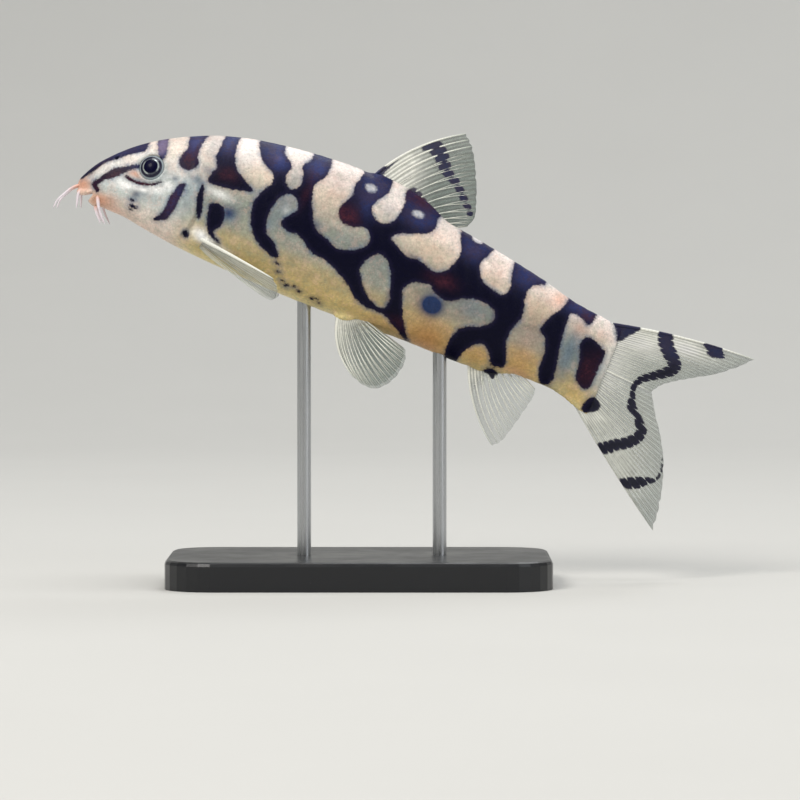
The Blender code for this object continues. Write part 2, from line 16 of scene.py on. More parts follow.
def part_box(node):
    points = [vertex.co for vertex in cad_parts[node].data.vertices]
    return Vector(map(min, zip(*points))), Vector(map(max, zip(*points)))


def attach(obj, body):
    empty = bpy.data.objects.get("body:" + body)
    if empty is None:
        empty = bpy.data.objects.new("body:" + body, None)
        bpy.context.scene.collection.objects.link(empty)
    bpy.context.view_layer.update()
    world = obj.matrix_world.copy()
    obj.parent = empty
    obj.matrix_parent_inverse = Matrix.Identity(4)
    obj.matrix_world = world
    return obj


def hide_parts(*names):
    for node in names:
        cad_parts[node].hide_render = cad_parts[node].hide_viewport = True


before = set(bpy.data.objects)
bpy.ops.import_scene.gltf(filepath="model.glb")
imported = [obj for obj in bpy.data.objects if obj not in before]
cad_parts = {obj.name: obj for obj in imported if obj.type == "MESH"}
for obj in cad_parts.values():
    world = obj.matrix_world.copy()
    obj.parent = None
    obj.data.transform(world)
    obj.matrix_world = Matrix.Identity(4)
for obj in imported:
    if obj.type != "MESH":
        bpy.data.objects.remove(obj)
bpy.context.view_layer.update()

MM = 0.001
SEED = 7

# Pose, as the solids have it
PITCH = math.radians(22)
COS, SIN = math.cos(PITCH), math.sin(PITCH)
SNOUT_X, SNOUT_Z = -56.49, 68.6
SWAY, SWAY_CENTRE, SWAY_LENGTH = 4.0, 38.0, 80.0

# Body, as the solids have it, with the flesh carried a little way onto the tail fin
BODY_END = 96.6
BACK_LINE = (
    (0, 0.7), (0.5, 2.35), (1, 3.35), (2, 5), (3.5, 6.8), (7, 10.2), (10, 12.4), (15, 15.2), (20, 17.35),
    (27, 19.2), (36, 20.5), (44, 21), (50, 20.4), (60, 18.4), (68, 17.3), (80, 15.3), (88, 13.5),
    (95, 12.8), (97, 12.4),
)
BELLY_LINE = (
    (0, 0.7), (0.5, -0.25), (1.5, -0.8), (3, -1.35), (5, -1.8), (9, -1.9), (14, -2.6), (20, -3.3),
    (30, -3.85), (42, -4.15), (52, -4), (63, -3.6), (72, -3.65), (78, -2.7), (83, -1.8), (88, -1.8),
    (91, -2.3), (95, -3.6), (97, -3.9),
)
HALF_WIDTH = (
    (0, 0), (0.5, 1.35), (1, 1.85), (2, 2.45), (4, 3.2), (7, 4), (10, 4.6), (15, 5.6), (20, 6.3),
    (27, 6.9), (36, 7.2), (45, 7), (55, 6.3), (65, 5.3), (75, 4.1), (85, 2.8), (91, 1.9), (95, 0.95),
    (97, 0.3),
)
WIDEST_HEIGHT = (
    (0, 0.6), (5, 2.4), (10, 3.8), (20, 5.2), (35, 6.3), (50, 6.8), (65, 6.8), (80, 6.4), (97, 5),
)
BACK_FULLNESS = ((0, 2), (10, 2.1), (30, 2), (60, 1.85), (97, 1.9))
BELLY_FULLNESS = ((0, 2), (6, 2.4), (20, 2.6), (45, 2.4), (65, 2.1), (97, 1.9))
SWELLINGS = (
    (17, 3.5, 3.6, 5, 0.45), (23.2, 3, 1.6, 4.5, -0.25), (7.5, 2, 2.5, 1.8, 0.25),
    (10.8, 10.7, 2.8, 0.9, 0.2),
)
SIDES = ((-1, "_left"), (1, "_right"))

# The gill cover's rear edge, the lateral line and the segments of muscle, and how high or deep they show
GILL_S, GILL_REACH, GILL_H, GILL_SPREAD = 17.0, 4.5, 3.0, 8.0
LATERAL_LINE_S, LATERAL_LINE_H = (22, 40, 60, 80, 95), (8.2, 8.0, 7.2, 6.3, 5.2)
MUSCLE_SPACING = 2.3
GILL_EDGE, GILL_GROOVE, LATERAL_GROOVE, MUSCLE_HEIGHT, CHEEK_CREASE = 0.2, 0.36, 0.07, 0.018, 0.1

# Head
EYE_S, EYE_H = 11.2, 7.8
EYE_RADIUS, EYE_DEPTH, EYE_SUNK = 2.35, 1.5, 0.75
PUPIL_RADIUS = 1.2
LENS_HEIGHT, LENS_SPREAD, RING_TURN = 0.12, 1.05, 0.35
EYE_SIDES, EYE_FRONT_RINGS, EYE_REAR_RINGS = 64, 44, 12
RIM_RADIUS, RIM_THICK, RIM_SUNK, RIM_AROUND, RIM_ACROSS = 2.5, 0.33, 0.2, 32, 12
ORBIT_RADIUS, ORBIT_SPREAD = 2.4, 0.28
NOSTRIL_S, NOSTRIL_H, NOSTRIL_RADIUS, NOSTRIL_WALL = 4.9, 7.0, 0.55, 0.22
# The nostril pit is painted dark as painted shade out to the first of these distances
NOSTRIL_SHADE_RADIUS, NOSTRIL_DEPTH, NOSTRIL_PROUD = 0.34, 1.2, 0.05
UPPER_LIP = ((3.6, 2.4, 0.35), (2.4, 2.25, -0.3), (1.3, 1.4, -0.6), (0.9, 0.0, -0.7))
LOWER_LIP = ((3.9, 2.45, 0.15), (3.5, 1.95, -0.75), (3.35, 0.95, -1.35), (3.5, 0.0, -1.3))
LIP_RADIUS = 0.5
CHIN_LOBE, CHIN_LOBE_RADII = (4.1, 0.85, -1.5), (0.8, 0.85, 0.65)
MOUTH, MOUTH_HALF_WIDTH = ((3.75, 0.4), (1.35, -1.3), (2.5, -2.4)), 4.0
CHEEK_SLIT, CHEEK_SLIT_RADIUS = ((7.4, 4.75), (8.6, 4.35), (10.0, 4.3), (12.0, 4.8)), 0.26
BARBELS = {
    "barbel_snout_front": (
        (1.4, 0.45, 0.9), (-0.3, 0.75, -0.35), (-1.3, 1, -1.9), (-2.05, 1.2, -3.5), (-2.2, 1.3, -5),
    ),
    "barbel_snout_side": ((1.6, 1, 0.6), (1, 1.75, -0.9), (1.15, 1.95, -1.9), (1.6, 2.1, -3.5)),
    "barbel_mouth_corner": ((4, 1.7, 0.5), (4.6, 2.75, -0.9), (5.7, 3, -2.6), (7.2, 2.9, -4.2)),
    "barbel_chin": ((4.1, 0.8, -1.2), (4.7, 1, -2.5), (5.5, 1.15, -3.5), (6.3, 1.3, -4.4)),
}
BARBEL_ROOT, BARBEL_TIP, BARBEL_SPLAY = 0.33, 0.1, 0.25
BARBEL_TAPER, FRONT_BARBEL_GIRTH = (1.15, 1.0, 0.8, 0.6), 0.78

# Fins. root and margin are lines in (s, h), or (s, y, h) on a paired fin; rays is their number, and plain how
# many of them don't branch; bow bends the first and the last ray; girth is the rays', and lead the first
# one's against it; fork is where they begin and end to branch; veil is how opaque the web is; parting is how
# far each ray breaks a dark band, and over what share of a gap; ray_pale is how much less dark the rays are;
# streak and streak_width are how milky the leading edge is and how wide, and fleshy how milky the root is
FINS = {
    "dorsal_fin": dict(
        root=((46.2, 19.4), (61.6, 16.9)),
        margin=(
            (58.8, 33.4), (60.6, 31.8), (62.2, 29.2), (63.6, 26.4), (64.9, 23.2), (65.6, 20.6),
            (65, 18.7),
        ),
        rays=13, plain=3, bow=(1.5, 0.0), girth=0.19, lead=1.3, fork=(0.35, 0.9), veil=0.72,
        parting=(0.7, 0.14), ray_pale=0.7, streak=0.3,
    ),
    "anal_fin": dict(
        root=((73.8, -2.2), (81.6, -0.6)),
        margin=((83.2, -14.7), (84.4, -13.4), (85.3, -10.4), (86.1, -7), (86.6, -4.4), (86.4, -2.9)),
        rays=9, plain=2, bow=(-1.3, 0.0), girth=0.15, lead=1.3, fork=(0.06, 0.5), veil=0.2,
        parting=(0.5, 0.15), ray_pale=0.3, streak=0.4,
    ),
    "tail_fin_upper": dict(
        root=((93.8, 12.3), (93.8, 4.9)),
        margin=(
            (119.8, 16), (117.4, 13.5), (114.4, 11.1), (111.3, 9.2), (108.6, 7.5), (106.5, 5.9),
            (105.3, 4.2),
        ),
        rays=13, plain=1, bow=(0.7, 0.0), girth=0.15, lead=1.7, fork=(0.06, 0.42), veil=0.5,
        parting=(0.48, 0.08), ray_pale=0.0, streak=0.3,
    ),
    "tail_fin_lower": dict(
        root=((94.2, 4.8), (94.2, -3.2)),
        margin=(
            (105.3, 4.2), (107.3, 1), (109.9, -2.7), (112, -6.6), (113.3, -10.4), (114.2, -14.2),
            (114.6, -18),
        ),
        rays=13, plain=1, bow=(0.0, -0.3), girth=0.15, lead=1.0, fork=(0.06, 0.42), veil=0.5,
        parting=(0.48, 0.08), ray_pale=0.0, streak=0.0,
    ),
    "pelvic_fin": dict(
        root=((50, 2.3, -2.6), (53.6, 2.6, -2.5)),
        margin=(
            (56.6, 4.4, -12.6), (58.6, 5, -13.2), (60.7, 5.5, -12.9), (62.3, 5.9, -11.3), (63.3, 6, -9),
            (63.5, 5.8, -6.6), (62.9, 5.2, -4.9),
        ),
        rays=9, plain=1, bow=(-1.7, 0.0), girth=0.14, lead=1.8, fork=(0.04, 0.45), veil=0.42,
        parting=(0.5, 0.15), ray_pale=0.3, streak=0.6,
    ),
    "pectoral_fin": dict(
        root=((21.6, 5.2, -0.2), (23.4, 4.5, -1.6)),
        margin=(
            (37.6, 9.3, -2), (38.8, 9.2, -3.1), (39.2, 9, -4.4), (38.7, 8.6, -5.5), (36.8, 8, -5.4),
            (34, 7.4, -4.6), (31, 6.8, -3.7),
        ),
        rays=9, plain=1, bow=(0.1, -0.4), girth=0.075, lead=4.6, fork=(0.3, 0.9), veil=0.1,
        parting=(0.5, 0.15), ray_pale=0.3, streak=1.0, streak_width=0.42, fleshy=0.0,
    ),
}

# Webs: the mesh's steps in a gap between rays and its rows, the thickness at root and margin, and in the
# middle of a gap the thinning, the sag and the depth of the margin's notch, the last as a share of the fin
WEB_STEPS, WEB_ROWS = 10, 46
WEB_ROOT, WEB_TIP, WEB_THINNING, WEB_SAG = 0.2, 0.08, 0.45, 0.05
NOTCHES = (0.003, 0.014)
# How much wider a dark band is between the rays and where on the fin that sets in, and how far milkiness
# reaches from the leading edge and from the root
BAND_WIDENING, BANDS_FROM = 0.1, (0.12, 0.3)
STREAK_WIDTH, FLESHY_WIDTH = 0.24, 0.17
# Rays: where the four filaments of a branched one end, as shares of a gap, the two branches that they part
# from, and their girth against an unbranched ray's
FILAMENTS, BRANCH, TWIG_FROM, FILAMENT_GIRTH = (-0.33, -0.12, 0.12, 0.33), 0.22, 0.225, 0.62
RAY_POINTS, RAY_JOINTS, RAY_JOINT_DEPTH, RAY_SIDES = 30, 14.0, 0.035, 6

# The low fleshy sheaths that the middle fins rise from: paths in (s, h), and radii along them
SHEATHS = (
    (((45.2, 20.5), (48, 20.7), (53, 20.1), (57, 19.3), (61.5, 17.9)), (0.3, 0.8, 0.9, 0.8, 0.3)),
    (((73.4, -3.2), (76, -2.9), (79, -2.3), (82, -1.5)), (0.3, 0.75, 0.7, 0.3)),
)
# The balls of flesh at the roots of the paired fins: places in (s, y, h), and radii
FIN_BALLS = {
    "pelvic_base": ((51.6, 2.4, -3.1), (2.4, 1.0, 1.0)),
    "pectoral_base": ((22.7, 5.15, -0.1), (1.9, 1.15, 1.6)),
}

# Stand
ROD_RADIUS, ROD_INTO_BODY, ROD_SIDES = 1.2, 1.0, 48
RODS = {"stand_rod_front": 43.5, "stand_rod_rear": 68.5}

# Markings of the left side, as the photo shows them in an upright plane through the fish: outlines and
# strokes in (s, h) there; a stroke's third number is its width at that point
NET = (
    (26.3, 24), (26.4, 19.2), (26.7, 18), (27.8, 16.3), (29, 15.4), (30.3, 14.7), (31, 13.6),
    (30.7, 12.3), (30, 11.2), (29.5, 9.8), (29.3, 8.3), (29.8, 6.2), (30.9, 4.1), (32.2, 2.9),
    (33.8, 1.95), (35.4, 1.4), (36.6, 1.3), (36.8, 1.8), (35.6, 3.2), (34.5, 4.2), (33.5, 5.1),
    (34.3, 6.4), (35.4, 6.7), (36.8, 6.3), (38.2, 6.4), (39.6, 5.9), (41, 4.9), (42.4, 4.3), (44, 4.2),
    (46, 3.6), (48, 2.6), (49.6, 1.7), (51, 0.5), (52.6, -0.4), (54.5, -0.8), (56.4, -0.7), (57.8, -1),
    (59.2, -1.7), (60.6, -2.4), (62, -3.3), (63.3, -4.3), (63.8, -5.6), (77.4, -5.6), (77.4, -2.2),
    (78.5, -1.95), (79.7, -1.5), (80, -0.6), (79.6, 0.6), (79, 1.8), (78.6, 3.2), (78.6, 4.6), (79.1, 6),
    (79.55, 7.4), (79.5, 8.6), (79.1, 10), (78.8, 11.4), (78.85, 12.6), (79.4, 13.5), (80.6, 14.2),
    (81.3, 15.3), (81.6, 24),
)
PALE_PATCHES = {
    "hourglass": (
        (31, 18.9), (31.6, 20.8), (35.4, 21.2), (35.7, 19.2), (34.8, 17.8), (35.3, 16.6), (35.8, 15.2),
        (35.3, 13.8), (34.4, 13.4), (33.4, 14), (32.8, 15.4), (33.2, 17), (32.2, 17.9),
    ),
    "grey oval": (
        (33, 10.5), (33.8, 12), (35, 12.5), (36.3, 11.8), (36.7, 10.5), (36.1, 9.3), (35.2, 8.2),
        (35.1, 7), (36, 5), (34.4, 4.5), (33, 5.6), (32.6, 7.4), (32.7, 9),
    ),
    "hook": (
        (39.4, 22), (39.5, 19.2), (39.2, 17.4), (38.3, 16.1), (38, 14.6), (38.6, 12.8), (39.4, 11.2),
        (39.9, 9.9), (41, 8.6), (42.8, 7.9), (45, 7), (46.8, 7), (48.6, 7.8), (49.9, 9), (50.3, 10.2),
        (49.8, 11.3), (48.7, 11.9), (47.4, 11.5), (46.2, 11.15), (44.7, 11.4), (43.7, 12.3), (43.4, 13.6),
        (44, 15), (44.6, 16.4), (44.4, 18.2), (44.9, 19.8), (45, 22),
    ),
    "drop under the dorsal fin": (
        (48.6, 15.8), (49.2, 17.4), (50.1, 18.6), (50.4, 20), (50.2, 22.5), (53.2, 22.5), (53.3, 20),
        (53.5, 18), (53.3, 16), (52.4, 14.4), (51, 13.8), (49.4, 14.3),
    ),
    "wedge": (
        (53.7, 12), (54.8, 13.3), (56.6, 14), (58.8, 14.9), (60, 16), (60.2, 18.6), (63.8, 18.8),
        (64.4, 17.2), (65.2, 15.4), (65.6, 13.8), (65.2, 11.8), (64.4, 10.3), (63, 9.4), (61.8, 9.5),
        (60.6, 10.1), (59.2, 10.3), (57.4, 10.1), (55.4, 10.9),
    ),
    "leaf": (
        (53, 8.7), (51.7, 7.7), (50.8, 6.2), (50.7, 4.8), (51.6, 3.3), (52.7, 2), (54.2, 0.8),
        (55.8, 0.15), (57, 0.4), (57.3, 1.6), (56.9, 3.2), (56.3, 4.9), (55.7, 6.4), (54.6, 7.9),
    ),
    "low patch": (
        (58.9, 4.6), (59.4, 5.7), (60.4, 6.5), (61.6, 6.8), (62.9, 6.9), (63.6, 6.2), (65, 5.7),
        (66.4, 5.5), (67.6, 5.9), (68.8, 6.7), (70.2, 7.3), (72, 7.6), (73.6, 7.4), (74.9, 6.7),
        (75.3, 5.6), (74.7, 4.5), (73.4, 3.6), (71.8, 2.9), (70.6, 2.2), (69.9, 1), (69.5, -0.6),
        (69.4, -2.4), (69.8, -6), (63.5, -6), (63.2, -3.9), (62.5, -2.8), (61.5, -1.3), (60.5, 0.3),
        (59.5, 2.4),
    ),
    "half round": (
        (72, -6), (72.2, -2.6), (72.9, -0.9), (74.1, 0.6), (75.2, 0.9), (76.4, 0.1), (77.1, -1.1),
        (77.5, -2.2), (77.8, -6),
    ),
    "oval": (
        (69.6, 13.4), (69.7, 14.4), (70.3, 15.6), (70.9, 16.8), (71.1, 18.9), (74.9, 18.6), (74.8, 16.6),
        (75, 15), (75.3, 13.4), (75.8, 12), (75.6, 10.8), (74.8, 10), (73.4, 10.3), (71.8, 10.7),
        (70.4, 11.6),
    ),
    "fleck on the back": (
        (66.4, 17.4), (66.9, 16.9), (67.6, 16.75), (68.3, 16.95), (68.7, 17.4), (68.6, 18.8),
        (66.4, 18.9),
    ),
}
DARK_PATCHES = {
    "nape": (
        (20.5, 15.4), (20.55, 17.4), (20.7, 19.2), (23, 20.2), (23.1, 18), (23.15, 16.4), (23.45, 15.1),
        (23.95, 13.9), (24.7, 12.9), (25.7, 12.3), (26.7, 11.8), (27.7, 11.2), (28.5, 10.6), (27.9, 10.1),
        (26.6, 9.8), (24.8, 9.4), (22.8, 9.1), (21.1, 9), (20.6, 9.7), (20.8, 10.8), (21.2, 11.8),
        (20.8, 12.8), (20.35, 14),
    ),
    "shoulder": (
        (22.3, 5.5), (22.8, 6.1), (24, 6.35), (24.9, 5.9), (25.6, 5), (25.75, 3.8), (25.55, 2.8),
        (25, 1.8), (24.6, 1), (24, 1), (23.4, 1.8), (23, 2.8), (22.6, 4.2),
    ),
    "temple": (
        (15.2, 13.8), (15, 14.8), (15.2, 16.4), (17.9, 17.4), (17.6, 15.4), (17.35, 14.2), (17.25, 13.4),
        (17.5, 12.5), (17.95, 11.6), (17.9, 10.6), (17.35, 9.9), (16.5, 9.5), (15.6, 9.7), (14.95, 10.3),
        (14.75, 11.2), (15.05, 12.1), (15.35, 13),
    ),
    "band before the tail fin": (
        (85.8, 17), (85.8, 13.6), (85.6, 12.4), (85.3, 11.5), (84.8, 10.8), (84.2, 10), (83.8, 9),
        (83.4, 8), (83.3, 7), (83.8, 6.4), (84.6, 5.9), (85.1, 4.8), (85.4, 3.6), (85.5, 2.2),
        (85.6, 0.6), (86, -0.6), (86.4, -1.4), (87.2, -1.75), (88.2, -1.3), (88.6, -0.2), (88.5, 1),
        (88.1, 3), (87.8, 4.4), (87.5, 6.2), (87.3, 8.2), (87.1, 10), (87.1, 11.2), (87.7, 11.7),
        (88.8, 11.6), (89.8, 11.2), (90.6, 10.8), (91.2, 11.6), (91.4, 13), (91.5, 17),
    ),
    "tail root": (
        (90.8, 8.2), (90.6, 7), (91, 6), (91.4, 5), (91.7, 3.8), (91.8, 2.4), (92.2, 1.4), (93, 0.6),
        (94, 0.3), (94.8, 0.6), (95.1, 1.6), (95.1, 3.4), (95.2, 5), (95.3, 6.6), (95.2, 7.6),
        (94.4, 8.1), (93.2, 8.6), (92, 8.9), (91.2, 8.8),
    ),
    "spot under the tail root": (
        (95, -2.6), (95.3, -1.2), (96.2, -0.35), (97.2, -0.7), (97.95, -1.6), (97.6, -2.4), (96.8, -3),
        (96, -3.45), (95.2, -3.2),
    ),
    "tail corner": (
        (94.3, 13.9), (94.4, 12.8), (95.2, 12.1), (95.8, 11), (96.3, 10.2), (97, 10.4), (97.5, 11.2),
        (98.4, 12.2), (98.9, 13), (99.2, 13.9),
    ),
    "dorsal root": (
        (53.4, 20.9), (54.2, 21.4), (55.2, 21.2), (56, 20.8), (56.8, 20.1), (57.8, 19.6), (58.6, 19),
        (59.3, 18.2), (58.1, 17.9), (56.8, 18.2), (55.2, 18.6), (53.9, 19), (53.35, 19.6),
    ),
    "anal root": (
        (76.8, -2.9), (77.6, -2.6), (78.6, -2.4), (79.3, -2.7), (79.2, -3.3), (78.8, -3.9), (78, -3.7),
        (77, -3.5),
    ),
    "upper tail tip": (
        (110.4, 15.3), (113.2, 16.1), (113.8, 15.2), (114.6, 14.6), (114, 14), (112.6, 13.7),
        (111.6, 13.9), (111, 14.7),
    ),
}
# The patches that reach onto the fins
PATCHES_ON_FINS = (
    "tail root", "spot under the tail root", "tail corner", "dorsal root", "anal root", "upper tail tip",
)
DARK_STROKES = {
    "snout ridge": (
        (0.3, 1.6, 0.5), (1.2, 3.3, 1), (2.6, 5.6, 1.1), (4.4, 7.4, 1.2), (5.6, 8.5, 1.3), (7, 9.6, 1.6),
        (8.1, 10.4, 1.5), (8.6, 11.3, 0.8),
    ),
    "muzzle": (
        (3.6, 0.6, 0.6), (2.9, 1.5, 1), (3.4, 2.4, 0.8), (4.5, 3.8, 1.2), (5.5, 4.7, 1.5),
        (6.3, 5.4, 1.2), (7.5, 6.4, 0.9), (8.5, 6.95, 0.75), (9.2, 7.25, 0.6),
    ),
    "under the eye": (
        (7.4, 4.7, 0.45), (9, 4.4, 0.55), (10.6, 4.6, 0.5), (12.2, 5.2, 0.4), (13.2, 6, 0.3),
    ),
    "over the eye": (
        (11.8, 10.2, 1.1), (11.5, 11.2, 1.6), (11.1, 12.4, 1.8), (10.9, 13.8, 1.7), (10.8, 15.5, 1.6),
    ),
    "gill cover": (
        (17, 7, 0.8), (16.75, 6.2, 1.4), (16.45, 4.6, 1.6), (16.4, 3.2, 1.6), (16.2, 1.9, 1.5),
        (15.8, 0.8, 1.3), (15.1, 0.05, 0.9), (14.7, -0.3, 0.5),
    ),
    "gill cover spur": ((16.9, 6.5, 0.5), (17.6, 6.25, 0.3)),
    "gill edge": (
        (20.1, 8.2, 0.5), (20.3, 7, 0.9), (20.7, 5.4, 1.1), (21.15, 4, 0.95), (21.5, 2.9, 0.55),
    ),
    "throat spot": ((20.3, -0.5, 0.9), (20.7, -0.8, 0.9)),
    "shoulder thread": ((24.4, 1.2, 0.9), (25.2, 0.6, 0.6), (26, 0.35, 0.35), (26.5, 0.15, 0.2)),
}
FIN_STROKES = {
    "dorsal front": (
        (45.6, 20.9, 1.2), (47.2, 21.7, 1.8), (48, 22.7, 1.2), (48.9, 24, 0.6), (49.6, 25, 0.25),
    ),
    "dorsal band": (
        (53.4, 28.9, 1.8), (54.7, 29.3, 2.5), (56.1, 28.5, 2.5), (57.4, 27, 2.1), (58.8, 25.8, 1.6),
        (60.3, 25, 1.3), (61.9, 23.7, 1.3), (63.2, 22.4, 1.1), (64.6, 20.9, 1),
    ),
    "tail band": (
        (103.7, 14.2, 2.6), (104.5, 12.6, 2.5), (105.7, 11.4, 2.3), (107, 10.3, 2.1), (107.1, 9.2, 2),
        (106.1, 8.1, 1.7), (104.3, 6.8, 1.4), (102.6, 5.4, 1.2), (102, 3.9, 0.9), (102.3, 2.4, 0.9),
        (102.9, 0.6, 1.6), (104.1, -0.4, 1.1), (105.3, -1.6, 1.5), (106.1, -3.1, 1.8), (105.4, -4.7, 1.9),
        (104, -5.9, 2), (102.3, -7, 2.1), (100.8, -8.2, 2.1),
    ),
    "lower tail tip": (
        (106.2, -12.3, 1.5), (107.6, -11.8, 1.9), (109.2, -11, 1.8), (110.4, -10.3, 1.1),
        (111.5, -9.5, 0.5), (111.9, -8.5, 0.35), (111.7, -7, 0.3), (111.2, -5.6, 0.15),
    ),
}
# Specks: (s, h, width)
SPECKS = (
    (9.85, 1.35, 0.4), (10.3, 0.35, 0.65), (10.5, 0.3, 0.6), (10.15, -0.25, 0.35), (37, 0.6, 0.4),
    (37.7, -0.7, 0.4), (39, -1.85, 0.45), (39.9, -2.35, 0.6), (41.2, -1.95, 0.4), (42.3, -2.45, 0.45),
    (44.85, -2.85, 0.4), (45.5, -2.6, 0.45), (46.2, -3.05, 0.35),
)

# Soft tints: (s, h, reach along s, reach along h, strength)
TINTS = {
    "gold": (
        (66, -1.5, 5, 3.2, 1), (75, -1.5, 2.6, 2.4, 0.6), (82.5, -0.6, 3.6, 2.2, 0.6),
        (92.5, -1.5, 3, 2, 0.3), (57, -2.6, 5, 1.6, 0.5), (45, -1, 9, 2.4, 0.15), (82, 2, 3.5, 2, 0.35),
        (61, 13, 5, 4, 0.2), (4.6, -0.9, 1.7, 1.1, 0.45), (62, 3.8, 3.2, 2.2, 0.25), (82, 10, 3, 4, 0.25),
        (70, 4.5, 4, 2, 0.2),
    ),
    "rose": (
        (84.6, 13, 1.6, 1.8, 0.6), (94.3, 9.9, 2.2, 1.3, 0.2), (82.5, -1.6, 3, 0.9, 0.5),
        (8.8, 5.7, 1.6, 0.7, 0.85), (0.9, 0.7, 1.7, 1.4, 1), (5.5, -0.2, 2.2, 0.9, 0.5),
        (4.2, -1, 1.7, 1.2, 0.45), (7, -1.4, 3, 0.8, 0.4), (76.8, 1.4, 1.2, 1, 0.5), (26, 15, 5, 4, 0.05),
        (41.5, 15.5, 3, 5, 0.16), (66, -3.2, 4, 0.9, 0.4), (89.5, 9.8, 1.2, 1.2, 0.4),
        (73, 13, 2.5, 3, 0.2), (82, 5, 3, 3, 0.2),
    ),
    "cool": (
        (34.4, 15.2, 1.6, 2.2, 0.5), (34.6, 10.4, 2, 2.8, 0.75), (53.8, 4.6, 3.2, 4.4, 0.25),
        (89.3, 5, 1.7, 6, 1), (26.6, 5.2, 1.5, 1.5, 0.9), (10.3, 2.6, 1.3, 1, 0.5),
        (11.2, 3.8, 0.9, 0.8, 0.5), (12.5, 3.4, 1.6, 1, 0.25), (18.6, 5.2, 1.8, 3.2, 0.45),
        (40.3, 9.3, 1.2, 1, 0.6), (33, 6.2, 1.4, 1.8, 0.6), (38, 5.2, 4, 1.6, 0.25),
        (47, 9.4, 4, 1.6, 0.15), (18.9, 8.8, 1.6, 0.9, 0.8), (29, 10.6, 1.2, 0.8, 0.4),
        (71, 5.5, 3.5, 2, 0.65), (82, 4.6, 2.5, 1.8, 0.25), (13, 8, 1.2, 1.2, 0.4),
        (19.4, 15, 1.4, 2.6, 0.45), (51.3, 16, 2, 2.4, 0.4), (42, 17.6, 2.6, 3, 0.3),
        (24.6, 13.8, 1.8, 2.2, 0.4),
    ),
    "navy": (
        (64.4, 3.9, 1.9, 1.7, 2), (10.1, 2.5, 0.7, 0.5, 0.6), (26, 5.4, 1.2, 1.1, 1),
        (20, 11, 1.2, 0.8, 0.5), (15.3, 7.5, 0.6, 0.5, 0.6), (58.6, 10.3, 1.4, 0.5, 0.5),
        (40.6, 9, 1.2, 0.8, 0.5), (75.2, 6.2, 0.7, 1.2, 0.6), (57.2, 2.4, 0.8, 2.2, 0.6),
    ),
    "maroon": (
        (45, 12.6, 2, 1.6, 1), (64.6, 8.4, 2.4, 1.2, 0.85), (56, 20, 3.2, 1.2, 0.7),
        (93.8, 3.2, 1.6, 3.2, 0.85), (23.3, 11.6, 1.8, 1.2, 0.6), (37.2, 14.5, 0.7, 3, 0.4),
        (16.2, 12, 2, 2.4, 0.6), (16.3, 3.2, 1.2, 3.4, 0.35), (2.9, 1.3, 1, 0.9, 0.8),
        (10.5, 4.7, 3.2, 1, 0.8), (5.2, 4.2, 2.6, 1.8, 0.55), (90.2, 12, 1.4, 0.8, 0.5),
        (60.5, -1.2, 3, 1.2, 0.4),
    ),
    # Lighter bluish grey in the dark markings: partly their own colour, partly painted sheen on the back and
    # head
    "slate_and_sheen": (
        (5, 8.8, 5, 2, 0.7), (11.3, 12, 2.2, 3, 1.5), (16.4, 3.5, 1.3, 4, 0.85),
        (22, 16.6, 1.8, 2.4, 0.9), (30.5, 17.4, 2.4, 2.4, 1.15), (37.4, 18.3, 2, 2, 1),
        (47.8, 17, 2.6, 3.2, 0.8), (56.8, 16.8, 3.4, 1.8, 0.7), (67.5, 15.3, 2.4, 2, 0.8),
        (78, 14.4, 3, 2.2, 0.7), (88.5, 13, 2.6, 1.4, 0.8), (46.8, 22, 1.4, 1.4, 0.6),
        (8.3, 6.9, 1.2, 0.8, 0.5), (16.3, 14.6, 1.9, 2.4, 1),
    ),
    # Pale flecks and bands, and painted highlights: specks along the back's upper edge and a gleam behind the
    # gill
    "white_and_highlight": (
        (47.2, 18.6, 1.6, 1.1, 1.6), (56.4, 17.5, 1.7, 0.95, 1.6), (22.9, 0.3, 1.7, 1.2, 0.9),
        (24.6, -0.5, 1.7, 0.8, 0.8), (27, -0.6, 2.2, 0.5, 0.5), (7.6, 3.3, 1.9, 0.7, 1.2),
        (10.6, 3.75, 1.8, 0.5, 1.1), (12.8, 4.7, 1.7, 0.6, 1.1), (14.6, 6, 1.1, 0.8, 1),
        (23.4, 7.9, 2.2, 0.8, 0.8), (96.8, 6.5, 2.1, 6, 0.62), (7.8, 9.3, 2.6, 1.2, 0.7),
        (4.4, 6.2, 1.8, 1.4, 0.6), (3.2, 4, 1.4, 1.6, 0.4), (33.5, 19.2, 1.8, 0.8, 0.4),
        (25.5, 16.5, 2.2, 2.2, 0.6), (42, 19.8, 2.4, 0.9, 0.15), (67.2, 17.4, 1, 0.6, 0.5),
        (82.5, 14.9, 1.8, 0.5, 0.5), (35, 9.6, 0.6, 1, 0.3), (100.5, 11.2, 3.4, 1.4, 0.7),
        (107.8, 13.2, 2.6, 1.3, 1),
    ),
}

# Milky areas of the fins, in the same terms
MILK = (
    (50.8, 23.2, 3.9, 4.7, 1.2), (100, 11.5, 5, 1.8, 0.9), (108, 13.7, 5, 1.5, 0.95), (98, 6, 3, 7, 0.5),
    (98, -3.5, 4, 1.8, 0.55), (103, -8, 4.6, 3.2, 0.62), (106, 0, 10, 14, 0.25), (76, -4, 2, 3, 0.3),
    (52, -6, 3, 3.4, 0.4), (107, -12, 3.2, 2.6, 0.55),
)
